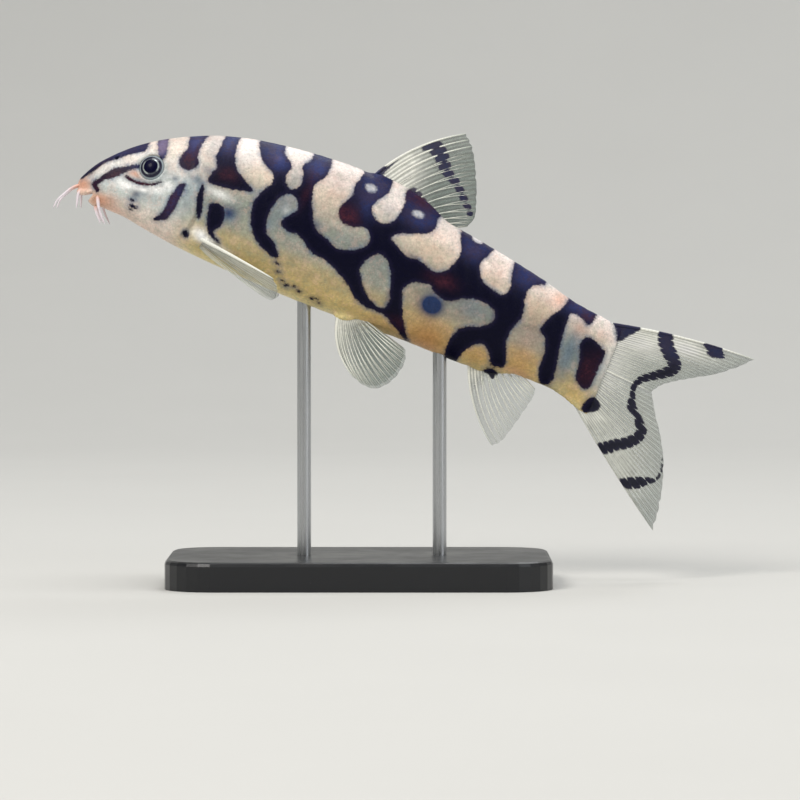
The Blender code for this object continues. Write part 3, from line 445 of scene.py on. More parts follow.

# Colours: the pale ground from belly to back, of the flank and of the head, then tints, some of them painted
# highlights, dark pigment with painted sheen along the back, and the rest
FLANK_TONES = (
    (0, "#e4d396"), (0.1, "#cfba7c"), (0.22, "#b6a57a"), (0.34, "#9e9d8d"), (0.5, "#8a8e86"),
    (0.62, "#ada799"), (0.74, "#d0c3b2"), (0.88, "#ecddd4"), (1, "#ece1db"),
)
HEAD_TONES = (
    (0, "#e8d3c4"), (0.12, "#dccfc4"), (0.3, "#c3c9c6"), (0.5, "#bec7c8"), (0.68, "#d0cac2"),
    (0.85, "#e3d5c9"), (1, "#decfc4"),
)
GOLD, ROSE, GREY_BLUE, WHITE_AND_HIGHLIGHT, NAVY_TINT = "#ba8953", "#dfa386", "#647684", "#f2f1ee", "#1f325a"
GREEN_TINT, PINK_TINT, BLUE_SMUDGE = "#95a28c", "#dcb8a6", "#4b5d7c"
# The last three of these lighten the dark markings: partly their own colour, partly painted sheen
NAVY, MAROON, SLATE_SHEEN, SHEEN, MAUVE_SHEEN = "#03031c", "#47202c", "#443f62", "#333a69", "#83738c"
SMUDGE, DARK_EDGE = "#5c4a54", "#211d3a"
RAY, RAY_JOINT, WEB, WEB_GREY = "#eeeee4", "#b3b29c", "#a3ada3", "#66756d"
SILVER, IRIS, IRIS_FLECK, IRIS_EDGE, PUPIL = "#b4bdbb", "#1b1b30", "#6f7c86", "#a0abb1", "#050524"
LAVENDER, ACRYLIC, DUST = "#e6dce2", "#1b1c1f", "#5c5c5e"
STEEL, BRIGHT_STEEL, PAPER = "#a3a5a8", "#d0d2d4", "#c6c5c1"

# Fine lines of the webs across a gap, the stripes beside each ray, and the joints drawn along a ray
WEB_LINES, WEB_STRIPES, DRAWN_JOINTS = 50.0, 4 * math.pi, 260.0

# Camera: the photo's frame, in the plane of the fish
PIXELS_PER_MM = 5.8
PHOTO_WIDTH = 800
SNOUT_PIXEL = (77, 186)
CAMERA_DISTANCE = 0.75
CAMERA_RISE = math.radians(2.0)

# Lamps: place, size, power and colour; all point at the fish's stand
LAMPS = {
    "key": ((-0.55, -0.75, 0.85), 0.5, 9.5, (1.0, 0.97, 0.93)),
    "fill": ((0.8, -0.6, 0.45), 0.8, 2.8, (0.93, 0.96, 1.0)),
    "top": ((0.05, 0.0, 1.1), 0.7, 6.5, (1.0, 1.0, 1.0)),
    "back": ((0.3, 0.8, 1.0), 0.7, 4.0, (0.96, 0.98, 1.0)),
}
LAMPS_AIM = (0, 0, 0.05)
ROOM_COLOUR, ROOM_LIGHT = (0.9, 0.95, 1.0, 1.0), 0.33


def curve_through(knots):
    """A smooth function of s through the knots, without overshoot, as the solids' source has it."""
    at = np.sqrt([s for s, _ in knots])
    value = np.array([v for _, v in knots], float)
    rise = np.diff(value) / np.diff(at)
    slope = np.zeros(len(at))
    slope[0], slope[-1] = rise[0], rise[-1]
    for i, (before, after) in enumerate(zip(rise, rise[1:]), 1):
        if before * after > 0:
            slope[i] = 2 * before * after / (before + after)

    def read(s):
        q = np.clip(np.sqrt(np.maximum(s, 0.0)), at[0], at[-1])
        i = np.clip(np.searchsorted(at, q, side="right") - 1, 0, len(at) - 2)
        width = at[i + 1] - at[i]
        t = (q - at[i]) / width
        return (
            value[i] * (1 + 2 * t) * (1 - t) ** 2
            + slope[i] * width * t * (1 - t) ** 2
            + value[i + 1] * t * t * (3 - 2 * t)
            + slope[i + 1] * width * t * t * (t - 1)
        )

    return read


back, belly = curve_through(BACK_LINE), curve_through(BELLY_LINE)
half_width, widest_height = curve_through(HALF_WIDTH), curve_through(WIDEST_HEIGHT)
back_fullness, belly_fullness = curve_through(BACK_FULLNESS), curve_through(BELLY_FULLNESS)


def bell(distance, width):
    """1 at no distance, falling softly to nearly 0 at twice the width."""
    return np.exp(-((distance / width) ** 2))


def soft_spots(s, h, spots):
    """The sum of soft round spots, each (s, h, reach along s, reach along h, height)."""
    return sum(
        height * np.exp(-(((s - at_s) / reach_s) ** 2) - ((h - at_h) / reach_h) ** 2)
        for at_s, at_h, reach_s, reach_h, height in spots
    )


def section(s, above):
    """The height where the body is widest, and the reach and fullness of its section above it or below it."""
    middle = widest_height(s)
    reach = np.where(above, back(s) - middle, middle - belly(s))
    return middle, reach, np.where(above, back_fullness(s), belly_fullness(s))


def flank(s, h):
    """The body's half width at a height."""
    middle, reach, full = section(s, h > widest_height(s))
    side = np.maximum(0.0, 1 - np.minimum(np.abs(h - middle) / reach, 1.0) ** full) ** (1 / full)
    return half_width(s) * side + soft_spots(s, h, SWELLINGS) * side


def sway(s):
    """How far to the fish's right the body's middle line is, and how far it has turned."""
    return SWAY * ((s - SWAY_CENTRE) / SWAY_LENGTH) ** 2, 2 * SWAY * (s - SWAY_CENTRE) / SWAY_LENGTH**2


def place(s, y, h):
    """Places in the model, in metres, of points in the fish's own frame."""
    aside, turn = sway(s)
    along, across = s - y * np.sin(turn), aside + y * np.cos(turn)
    x = SNOUT_X + along * COS + h * SIN
    z = SNOUT_Z - along * SIN + h * COS
    return np.stack(np.broadcast_arrays(x, across, z), axis=-1) * MM


def along_and_up(x, z):
    """The distances along and above the fish's axis of a place in the model, in millimetres."""
    x, z = x - SNOUT_X, z - SNOUT_Z
    return x * COS - z * SIN, x * SIN + z * COS


def unplace(points):
    """The fish's own s, y and h of places in the model."""
    x, across, z = (points / MM).T
    along, h = along_and_up(x, z)
    s, y = along.copy(), across.copy()
    for _ in range(4):
        aside, turn = sway(s)
        y = (across - aside) / np.cos(turn)
        s = along + y * np.sin(turn)
    return s, y, h


def skin_point(s, h, side):
    """A point of the flank and its outward normal, side -1 on the fish's left and 1 on its right."""
    step = 0.1
    slope_s = (flank(s + step, h) - flank(s - step, h)) / (2 * step)
    slope_h = (flank(s, h + step) - flank(s, h - step)) / (2 * step)
    point = Vector(place(s, side * flank(s, h), h))
    out = Vector(place(s - slope_s, side * (flank(s, h) + 1), h - slope_h)) - point
    return point, out.normalized()


def smooth_line(points, closed=False):
    """A function of t, from 0 to 1, along a smooth line through points."""
    line = np.array([p if len(p) == 3 else (p[0], 0.0, p[1]) for p in points], float)
    if closed:
        line = np.vstack([line[-1], line, line[:2]])
    else:
        line = np.vstack([2 * line[0] - line[1], line, 2 * line[-1] - line[-2]])
    spans = len(line) - 3

    def read(t):
        share = np.clip(t, 0, 1) * spans
        i = np.minimum(share.astype(int), spans - 1)
        u = (share - i)[..., None]
        before, start, end, after = (line[i + k] for k in range(4))
        return 0.5 * (
            2 * start + (end - before) * u + (2 * before - 5 * start + 4 * end - after) * u * u
            + (3 * start - before - 3 * end + after) * u**3
        )

    return read


def smooth_step(low, high, value):
    t = np.clip((value - low) / (high - low), 0, 1)
    return t * t * (3 - 2 * t)


# Markings

# How far outside itself a marking is still measured, and how far its inner corners are rounded
FAR, CORNER = 3.0, 0.7


def to_segments(s, h, ends):
    """The distance from each (s, h) to each segment of a chain of ends, and the share along it."""
    a, b = ends[:-1, :2], ends[1:, :2]
    run = b - a
    ds, dh = s[:, None] - a[:, 0], h[:, None] - a[:, 1]
    share = np.clip((ds * run[:, 0] + dh * run[:, 1]) / np.maximum((run**2).sum(1), 1e-12), 0, 1)
    return np.hypot(ds - share * run[:, 0], dh - share * run[:, 1]), share


def near(s, h, ends):
    """Which of the (s, h) lie within FAR of the box round a chain of ends."""
    low, high = ends[:, :2].min(0) - FAR, ends[:, :2].max(0) + FAR
    return np.flatnonzero((s > low[0]) & (s < high[0]) & (h > low[1]) & (h < high[1]))


def inside_patch(s, h, outline):
    """How far inside a smooth closed outline each (s, h) is, in millimetres; outside it down to -FAR."""
    line = smooth_line(outline, closed=True)(np.linspace(0, 1, len(outline) * 5 + 1))[:, [0, 2]]
    value = np.full(len(s), -FAR)
    pick = near(s, h, line)
    ps, ph = s[pick], h[pick]
    distance = to_segments(ps, ph, line)[0].min(1)
    a, b = line[:-1], line[1:]
    crosses = (a[:, 1] > ph[:, None]) != (b[:, 1] > ph[:, None])
    rise = np.where(b[:, 1] == a[:, 1], 1e-9, b[:, 1] - a[:, 1])
    at = a[:, 0] + (ph[:, None] - a[:, 1]) * (b[:, 0] - a[:, 0]) / rise
    odd = (crosses & (ps[:, None] < at)).sum(1) % 2 == 1
    value[pick] = np.where(odd, distance, -np.minimum(distance, FAR))
    return value


def inside_stroke(s, h, path):
    """How far inside a stroke of changing width each (s, h) is, in millimetres."""
    points = np.array(path, float)
    line = smooth_line(points[:, [0, 2, 1]])(np.linspace(0, 1, (len(points) - 1) * 4 + 1))[:, [0, 2, 1]]
    value = np.full(len(s), -FAR)
    pick = near(s, h, line)
    distance, share = to_segments(s[pick], h[pick], line)
    width = line[:-1, 2] + (line[1:, 2] - line[:-1, 2]) * share
    value[pick] = np.maximum((width / 2 - distance).max(1), -FAR)
    return value


def join(a, b):
    """The union of two inside measures, its inner corners a little rounded."""
    return np.maximum(a, b) + np.maximum(CORNER - np.abs(a - b), 0) ** 2 / (4 * CORNER)


def darkness(s, h, on_fin=False):
    """How far inside the dark markings each (s, h) is, in millimetres."""
    if on_fin:
        dark = np.full(len(s), -FAR)
        patches, strokes = {name: DARK_PATCHES[name] for name in PATCHES_ON_FINS}, FIN_STROKES
    else:
        dark = inside_patch(s, h, NET)
        patches, strokes = DARK_PATCHES, {**DARK_STROKES, **FIN_STROKES}
        for outline in PALE_PATCHES.values():
            dark = -join(-dark, inside_patch(s, h, outline))
    for outline in patches.values():
        dark = join(dark, inside_patch(s, h, outline))
    for path in strokes.values():
        dark = np.maximum(dark, inside_stroke(s, h, path))
    if not on_fin:
        for at_s, at_h, width in SPECKS:
            dark = np.maximum(dark, width / 2 - np.hypot(0.6 * (s - at_s), h - at_h))
    return dark


def photo_plane(s, y, h):
    """The s and h at which the photo's camera sees a point of the left side in the upright middle plane.

    A point of the right side is read as its mirror image."""
    eye, _ = camera_places()
    points = place(s, -np.abs(y), h)
    share = -eye.y / (points[..., 1] - eye.y)
    x = (eye.x + (points[..., 0] - eye.x) * share) / MM
    z = (eye.z + (points[..., 2] - eye.z) * share) / MM
    return along_and_up(x, z)


def other_side(s, y, h):
    """Where the marking of a point is read: on the fish's right the net is drawn a little differently."""
    share = smooth_step(0.15, 0.8, y / np.maximum(half_width(s), 0.5)) * smooth_step(14, 26, s)
    along = 2.3 * np.sin(0.42 * h + 0.1 * s + 0.7) + 1.1 * np.sin(0.31 * s + 2.0)
    up = 1.3 * np.sin(0.23 * s + 1.9) + 0.5 * np.sin(0.55 * s)
    return s + along * share, h + up * share


def set_attribute(mesh, name, values):
    layer = mesh.attributes.new(name, "FLOAT", "POINT")
    layer.data.foreach_set("value", np.asarray(values, np.float32))


def stored(mesh, name):
    """The values of an attribute."""
    values = np.empty(len(mesh.vertices), np.float32)
    mesh.attributes[name].data.foreach_get("value", values)
    return values


def vertex_places(mesh):
    places = np.empty(len(mesh.vertices) * 3, np.float32)
    mesh.vertices.foreach_get("co", places)
    return places.reshape(-1, 3).astype(float)


def paint(mesh, on_fin=False):
    """Stores the markings and tints on a mesh's points, for its material to read.

    On the skin the dark markings also hold painted shade in the nostril pits.
    """
    s, y, h = unplace(vertex_places(mesh))
    rs, rh = photo_plane(s, y, h)
    if on_fin:
        dark = darkness(rs, rh, on_fin)
    else:
        rs, rh = other_side(rs, y, rh)
        # Painted shade in the nostril pit, drawn into the dark markings
        nostril = 3 * (NOSTRIL_SHADE_RADIUS - np.hypot(s - NOSTRIL_S, h - NOSTRIL_H))
        dark = np.maximum(darkness(rs, rh), nostril)
    set_attribute(mesh, "dark", dark)
    for name, spots in TINTS.items():
        set_attribute(mesh, name, np.clip(soft_spots(rs, rh, spots), 0, 1.5))
    rise = (h - belly(s)) / np.maximum(back(s) - belly(s), 1.0)
    set_attribute(mesh, "rise", np.clip(rise, 0, 1))
    set_attribute(mesh, "head", smooth_step(24.0, 17.0, s))
    orbit = bell(np.hypot(s - EYE_S, h - EYE_H) - ORBIT_RADIUS, ORBIT_SPREAD)
    set_attribute(mesh, "orbit", orbit * smooth_step(20, 18, s))


# Meshes


def new_thing(name, data):
    made = bpy.data.objects.new(name, data)
    bpy.context.scene.collection.objects.link(made)
    return made


def dress(mesh, finish):
    """Gives a mesh its one material."""
    mesh.materials.clear()
    mesh.materials.append(finish)


def new_object(name, mesh, finish=None):
    if finish:
        dress(mesh, finish)
    return new_thing(name, mesh)


def carry(piece, slot, *nodes):
    """Fixes a piece to the model in place of its solids, which it hides; slot, the material slot it shows, is
    not used.
    """
    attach(piece, "root")
    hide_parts(*nodes)


def settle(mesh):
    """Turns a closed mesh's faces outwards and shades it smooth."""
    shape = bmesh.new()
    shape.from_mesh(mesh)
    bmesh.ops.recalc_face_normals(shape, faces=shape.faces)
    shape.to_mesh(mesh)
    shape.free()
    mesh.shade_smooth()
    return mesh


def evaluated(obj):
    """The object's mesh with its modifiers applied; the modifiers are taken off."""
    mesh = bpy.data.meshes.new_from_object(obj.evaluated_get(bpy.context.evaluated_depsgraph_get()))
    obj.modifiers.clear()
    obj.data = mesh
    return mesh


def from_shape(name, shape):
    """An object made of a bmesh, which is used up."""
    mesh = bpy.data.meshes.new(name)
    shape.to_mesh(mesh)
    shape.free()
    return new_object(name, settle(mesh))


def angles(count):
    return 2 * math.pi * np.arange(count) / count


def circle(angle, radius, height):
    """The points at these angles of a level circle round the origin."""
    return np.stack([radius * np.cos(angle), radius * np.sin(angle), np.full(len(angle), height)], -1)


def rings_mesh(name, rings):
    """A closed skin over rings of points, each end closed to its middle."""
    rings = np.asarray(rings)
    rows, count = rings.shape[:2]
    points = np.vstack([rings.reshape(-1, 3), rings[0].mean(0), rings[-1].mean(0)])
    around = [(k, (k + 1) % count) for k in range(count)]
    faces = [(i * count + a, i * count + b, (i + 1) * count + b, (i + 1) * count + a)
             for i in range(rows - 1) for a, b in around]
    faces += [(a, rows * count, b) for a, b in around]
    last = (rows - 1) * count
    faces += [(last + a, last + b, rows * count + 1) for a, b in around]
    mesh = bpy.data.meshes.new(name)
    mesh.from_pydata(points.tolist(), [], faces)
    return settle(mesh)


def ball(name, centre, radii, outward=None):
    """An ellipsoid, its last radius along outward."""
    turn = Vector(outward or (0, 0, 1)).to_track_quat("Z", "Y").to_matrix().to_4x4()
    matrix = Matrix.Translation(centre) @ turn @ Matrix.Diagonal((*[r * MM for r in radii], 1.0))
    shape = bmesh.new()
    bmesh.ops.create_uvsphere(shape, u_segments=24, v_segments=16, radius=1.0, matrix=matrix)
    return from_shape(name, shape)


def rim(name, centre, outward, radius, thick):
    """A round rim that faces outward."""
    turn = outward.to_track_quat("Z", "Y").to_matrix()
    shape, rows = bmesh.new(), []
    for a in angles(RIM_AROUND):
        axis = Vector((math.cos(a), math.sin(a), 0))
        around = [
            axis * (radius + thick * math.cos(b)) + Vector((0, 0, thick * math.sin(b)))
            for b in angles(RIM_ACROSS)
        ]
        rows.append([shape.verts.new(centre + turn @ point * MM) for point in around])
    for low, high in zip(rows, [*rows[1:], rows[0]]):
        for k, after in enumerate([*range(1, RIM_ACROSS), 0]):
            shape.faces.new((low[k], low[after], high[after], high[k]))
    return from_shape(name, shape)


def combine(target, operation, others):
    """Joins others to target, or cuts them from it, and removes them."""
    pieces = bpy.data.collections.new("pieces")
    for other in others:
        pieces.objects.link(other)
    modifier = target.modifiers.new("combine", "BOOLEAN")
    modifier.operand_type = "COLLECTION"
    modifier.collection = pieces
    modifier.operation = operation
    evaluated(target)
    for other in others:
        bpy.data.objects.remove(other)
    bpy.data.collections.remove(pieces)


# Node trees

NUMBER = "NodeSocketFloat"


class Value:
    """A node's output, written in sums like a number: each step adds a node to its tree."""

    def __init__(self, tree, socket):
        self.tree, self.socket = tree, socket

    def step(self, operation, first, second):
        return self.tree.add("ShaderNodeMath", 0, {0: first, 1: second}, operation=operation)

    def __add__(self, other):
        return self.step("ADD", self, other)

    def __sub__(self, other):
        return self.step("SUBTRACT", self, other)

    def __rsub__(self, other):
        return self.step("SUBTRACT", other, self)

    def __mul__(self, other):
        return self.step("MULTIPLY", self, other)

    def __rtruediv__(self, other):
        return self.step("DIVIDE", other, self)

    def wave(self, kind):
        return self.tree.add("ShaderNodeMath", 0, {0: self}, operation=kind)

    def beside(self, name):
        """Another output of the same node."""
        return Value(self.tree, self.socket.node.outputs[name])

    def spread(self, low, high, to_low=0.0, to_high=1.0, kind="SMOOTHSTEP"):
        """Maps the run from low to high onto another run."""
        values = {0: self, 1: low, 2: high, 3: to_low, 4: to_high}
        return self.tree.add("ShaderNodeMapRange", 0, values, interpolation_type=kind)


def tone(code):
    """A colour written as screen values, as the linear values that a shader takes."""
    parts = [int(code[i : i + 2], 16) / 255 for i in (1, 3, 5)]
    return (*[p / 12.92 if p <= 0.04045 else ((p + 0.055) / 1.055) ** 2.4 for p in parts], 1.0)


class Tree:
    """A node tree, with the steps that its nodes are added by."""

    def __init__(self, tree):
        self.tree = tree

    def fill(self, sockets, values):
        """Gives inputs their values, or links where a value is a node's output; a colour may be a code."""
        for name, value in values.items():
            if isinstance(value, Value):
                self.tree.links.new(value.socket, sockets[name])
            else:
                sockets[name].default_value = tone(value) if str(value).startswith("#") else value

    def add(self, kind, output, values=None, **settings):
        """Adds a node, sets its properties, fills its inputs and gives the output asked for."""
        node = self.tree.nodes.new(kind)
        for name, value in settings.items():
            setattr(node, name, value)
        self.fill(node.inputs, values or {})
        return Value(self, node.outputs[output])

    def blend(self, factor, first, second, kind="MIX"):
        """Mixes two colours."""
        values = {0: factor, 6: first, 7: second}
        return self.add("ShaderNodeMix", 2, values, data_type="RGBA", blend_type=kind, clamp_factor=True)

    def shaded(self, colour, shade):
        grey = self.add("ShaderNodeCombineColor", 0, dict.fromkeys((0, 1, 2), shade))
        return self.blend(1.0, colour, grey, "MULTIPLY")

    def larger(self, first, second, clamp=False):
        return self.add("ShaderNodeMath", 0, {0: first, 1: second}, operation="MAXIMUM", use_clamp=clamp)

    def toned(self, factor, stops):
        """A soft run of colours over a factor from 0 to 1."""
        colour = self.add("ShaderNodeValToRGB", "Color", {"Fac": factor})
        ramp = colour.socket.node.color_ramp
        ramp.interpolation = "EASE"
        ramp.elements.remove(ramp.elements[1])
        ramp.elements[0].position, ramp.elements[0].color = stops[0][0], tone(stops[0][1])
        for at, code in stops[1:]:
            ramp.elements.new(at).color = tone(code)
        return colour

    def read(self, name):
        return self.add("ShaderNodeAttribute", "Fac", attribute_name=name, attribute_type="GEOMETRY")

    def places(self):
        return self.add("ShaderNodeTexCoord", "Object")

    def noise(self, places, scale, detail):
        return self.add("ShaderNodeTexNoise", "Fac", {"Vector": places, "Scale": scale, "Detail": detail})

    def cells(self, scale, feature="F1"):
        values = {"Vector": self.places(), "Scale": scale}
        return self.add("ShaderNodeTexVoronoi", "Distance", values, feature=feature)

    def group(self, group, output, **values):
        return self.add("ShaderNodeGroup", output, values, node_tree=group)

    def clouds(self, size, strength):
        return self.group(MOTTLE, "Shade", Size=size, Strength=strength)

    def dots(self, spacing, dot):
        return self.group(STIPPLE, "Mask", Spacing=spacing, Dot=dot)

    def bump(self, height, distance, strength):
        values = {"Strength": strength, "Distance": distance, "Height": height}
        return self.add("ShaderNodeBump", "Normal", values)


def new_group(name, kind, inputs, outputs):
    """A node group with inputs, given as name: (type, default), and outputs, as name: type."""
    made = bpy.data.node_groups.new(name, kind)
    for label, (sort, default) in inputs.items():
        socket = made.interface.new_socket(label, in_out="INPUT", socket_type=sort)
        if default is not None:
            socket.default_value = default
    for label, sort in outputs.items():
        made.interface.new_socket(label, in_out="OUTPUT", socket_type=sort)
    tree, source = Tree(made), made.nodes.new("NodeGroupInput")
    given = {label: Value(tree, source.outputs[label]) for label in inputs}
    return made, tree, given, made.nodes.new("NodeGroupOutput").inputs


def shader_group(name, inputs, outputs):
    """A shader node group of plain numbers."""
    given = {label: (NUMBER, default) for label, default in inputs.items()}
    return new_group(name, "ShaderNodeTree", given, dict.fromkeys(outputs, NUMBER))


def mottle_group():
    """Cloudy variation at two sizes, about 1."""
    made, t, given, result = shader_group("cloudy mottle", {"Size": 2.0, "Strength": 0.15}, ["Shade"])
    places, scale = t.places(), 1000.0 / given["Size"]
    total = t.noise(places, scale, 3.0) * 1.3 + t.noise(places, scale * 4.5, 2.0) * 0.7
    t.fill(result, {"Shade": (total - 1.0) * given["Strength"] + 1.0})
    return made


def marking_group():
    """A mask of the dark markings, with an uneven grainy edge, the smudge outside and the depth inside it."""
    inputs, outputs = {"Softness": 0.2, "Wander": 0.3}, ["Mask", "Smudge", "Core"]
    made, t, given, result = shader_group("dark marking", inputs, outputs)
    places, depth = t.places(), t.read("dark")
    for scale, share in ((900.0, 1.0), (3600.0, 0.75)):
        depth += (t.noise(places, scale, 3.0) - 0.5) * given["Wander"] * share
    mask = depth.spread(given["Softness"] * -1.0, given["Softness"])
    t.fill(result, {"Mask": mask, "Smudge": depth.spread(-0.85, 0.1), "Core": depth.spread(0.0, 1.1)})
    return made


def stipple_group():
    """Small round dots of pigment, scattered."""
    made, t, given, result = shader_group("pigment stipple", {"Spacing": 0.5, "Dot": 0.3}, ["Mask"])
    t.fill(result, {"Mask": t.cells(1000.0 / given["Spacing"]).spread(given["Dot"], 0.0)})
    return made


def grain_group():
    """Fine skin grain: tiny buried scales under a softly uneven surface, as a height and a shade about 1."""
    inputs, outputs = {"Grain": 0.3, "Lines": 0.15}, ["Height", "Shade"]
    made, t, given, result = shader_group("fine skin grain", inputs, outputs)
    scale, waves = 1000.0 / given["Grain"], t.noise(t.places(), 420.0, 3.0)
    line = t.cells(scale * 0.55, "DISTANCE_TO_EDGE").spread(0.16, 0.0) * waves.spread(0.4, 0.6)
    height = t.cells(scale, "SMOOTH_F1") * -0.5 + waves
    t.fill(result, {"Height": height, "Shade": 1.0 - line * given["Lines"]})
    return made


MOTTLE, MARKING, STIPPLE, GRAIN = mottle_group(), marking_group(), stipple_group(), grain_group()


def new_material(name):
    made = bpy.data.materials.new(name)
    made.use_nodes = True
    return made, Tree(made.node_tree)


def finish_material(made, t, **values):
    """Fills the material's shader; in a name, _ stands for a space."""
    shader = made.node_tree.nodes["Principled BSDF"]
    t.fill(shader.inputs, {name.replace("_", " "): value for name, value in values.items()})
    return made


def banded(t, pale, softness, wander):
    """A pale colour under the dark bands of a fin, and the mask of the bands."""
    bands = t.group(MARKING, "Mask", Softness=softness, Wander=wander)
    return t.blend(bands, pale, dark_colour(t, bands.beside("Core"))), bands


def dark_colour(t, core):
    """The dark markings' colour: nearly black on the flank, speckled maroon in places, and lighter bluish
    grey, blue and mauve along the back and on top of the head, partly their own colour and partly painted
    sheen.

    It is a little lighter and bluer where core, the depth inside the marking, is small."""
    cloud, slate_and_sheen = t.clouds(2.2, 1.0), t.read("slate_and_sheen")
    sheen = t.blend(cloud.spread(0.88, 1.12), SLATE_SHEEN, SHEEN)
    # Painted sheen: the dark turns lighter and bluer toward the top of the back
    colour = t.blend(t.read("rise").spread(0.76, 1.0, 0.0, 0.4), NAVY, sheen)
    # Lighter where the back and head tint asks, mauve where it is strongest: partly own colour, partly
    # painted sheen
    colour = t.blend(slate_and_sheen * cloud.spread(0.8, 1.2, 0.55, 0.9), colour, sheen)
    colour = t.blend(core.spread(0.0, 1.0, 0.4, 0.0), colour, DARK_EDGE)
    colour = t.blend(slate_and_sheen.spread(1.0, 1.5, 0.0, 0.6), colour, MAUVE_SHEEN)
    speckled = t.read("maroon") * t.dots(0.4, 0.55).spread(0.0, 1.0, 0.95, 0.5)
    return t.blend(speckled * cloud.spread(0.85, 1.15, 1.0, 0.5), colour, MAROON)


def skin_material():
    """Pale skin, tinted, mottled and painted with highlights in places, under the dark markings and their
    painted sheen.
    """
    made, t = new_material("loach_skin")
    rise = t.read("rise")
    pale = t.blend(t.read("head"), t.toned(rise, FLANK_TONES), t.toned(rise, HEAD_TONES))
    patchy = t.clouds(1.3, 1.0)
    pale = t.blend(patchy.spread(1.0, 1.25, 0.0, 0.3), pale, GREEN_TINT)
    pale = t.blend(patchy.spread(1.0, 0.78, 0.0, 0.26), pale, PINK_TINT)
    # Of these tints the palest holds pale flecks and bands and also painted highlights along the back
    for name, colour, strength in (
        ("gold", GOLD, 0.9), ("cool", GREY_BLUE, 0.85), ("rose", ROSE, 0.9), ("white_and_highlight", WHITE_AND_HIGHLIGHT, 0.92),
        ("navy", NAVY_TINT, 0.95), ("orbit", SILVER, 0.55),
    ):
        pale = t.blend(t.read(name) * strength, pale, colour)
    broad, fine = t.clouds(2.4, 0.5), t.clouds(0.5, 0.42)
    grain = t.group(GRAIN, "Height", Grain=0.28, Lines=0.13)
    for shade in (broad, fine, grain.beside("Shade")):
        pale = t.shaded(pale, shade)
    pale = t.blend(t.dots(0.5, 0.3) * rise.spread(0.2, 0.6, 0.15, 0.38), pale, SMUDGE)
    marking, hue = t.group(MARKING, "Mask", Softness=0.17, Wander=0.62), t.clouds(3.4, 1.0)
    smudge = t.blend(hue.spread(0.88, 1.1), SMUDGE, BLUE_SMUDGE)
    pale = t.blend(marking.beside("Smudge") * hue.spread(0.8, 1.2, 0.3, 0.62), pale, smudge)
    dark = t.shaded(dark_colour(t, marking.beside("Core")), fine)
    # Pale flecks and painted highlights break through the dark markings
    fleck_and_highlight = t.read("white_and_highlight") + (fine - 1.0)
    mask = marking * (1.0 - fleck_and_highlight.spread(0.75, 1.5, 0.0, 0.88))
    return finish_material(
        made, t, Base_Color=t.blend(mask, pale, dark),
        Roughness=broad.spread(0.7, 1.3, 0.4, 0.54), Specular_IOR_Level=0.1,
        Coat_Weight=mask.spread(0.0, 1.0, 0.18, 0.02, "LINEAR"), Coat_Roughness=0.22,
        Normal=t.bump(grain, 0.00011, 0.9),
    )


def ray_material():
    """Bony rays: cream, jointed crosswise, dark only deep inside the bands."""
    made, t = new_material("fin_ray")
    along = t.read("along")
    joints = (along * DRAWN_JOINTS).wave("SINE")
    pale = t.blend(joints.spread(0.2, 1.0, 0.0, 0.22), RAY, RAY_JOINT)
    pale = t.blend(along.spread(0.8, 1.0, 0.0, 0.5), pale, WEB)
    colour, _ = banded(t, pale, 0.15, 0.4)
    return finish_material(
        made, t, Base_Color=colour, Roughness=0.4, Specular_IOR_Level=0.35,
        Normal=t.bump(joints, 0.00002, 0.6),
    )


def web_material():
    """The clear skin between the rays, finely striped along them, milky in places, dark in the bands."""
    made, t = new_material("fin_web")
    milk, white_and_highlight, phase = t.read("milk"), t.read("white_and_highlight"), t.read("phase")
    pale = t.blend(white_and_highlight, t.shaded(t.blend(milk, WEB_GREY, RAY), t.clouds(1.6, 0.6)), WHITE_AND_HIGHLIGHT)
    stripes = (phase * WEB_STRIPES).wave("COSINE")
    pale = t.shaded(pale, stripes.spread(-1.0, 1.0, 0.62, 1.16, "LINEAR"))
    colour, bands = banded(t, pale, 0.17, 0.45)
    opaque = t.larger(t.larger(t.read("veil"), milk * 0.88), white_and_highlight * 0.85)
    return finish_material(
        made, t, Base_Color=colour, Alpha=t.larger(opaque, bands * 0.97, clamp=True), Roughness=0.36,
        Specular_IOR_Level=0.3, Normal=t.bump((phase * WEB_LINES).wave("SINE"), 0.00003, 0.6),
    )


def barbel_material():
    """Soft skin, rosy at the root, pale lavender beyond it."""
    made, t = new_material("barbel_skin")
    colour = t.blend(t.read("along").spread(0.05, 0.5), ROSE, LAVENDER)
    return finish_material(
        made, t, Base_Color=t.shaded(colour, t.clouds(0.9, 0.3)), Roughness=0.4, Specular_IOR_Level=0.3,
        Normal=t.bump(t.group(GRAIN, "Height", Grain=0.22), 0.00003, 0.6),
    )


def eye_material():
    """A black pupil in a thin silver ring, then a dark iris flecked with silver, silver again at its edge."""
    made, t = new_material("loach_eye")
    radial = t.read("radial")
    iris = t.blend(t.dots(0.28, 0.4) * 0.3, IRIS, IRIS_FLECK)
    iris = t.blend(radial.spread(1.82, 2.0, 0.0, 0.9), iris, IRIS_EDGE)
    ring = radial.spread(1.2, 1.27) * radial.spread(1.52, 1.4)
    ring = ring * t.clouds(0.7, 1.6).spread(0.5, 1.2, 0.35, 1.0)
    ring = ring * t.read("arc").spread(0.35, 0.8, 0.12, 1.0)
    return finish_material(
        made, t, Base_Color=t.blend(radial.spread(1.22, 1.16), t.blend(ring, iris, SILVER), PUPIL),
        Metallic=ring.spread(0.0, 1.0, 0.0, 0.6), Roughness=0.4, Specular_IOR_Level=0.06,
        Coat_Weight=radial.spread(1.1, 1.4, 0.06, 0.35), Coat_Roughness=0.08,
    )


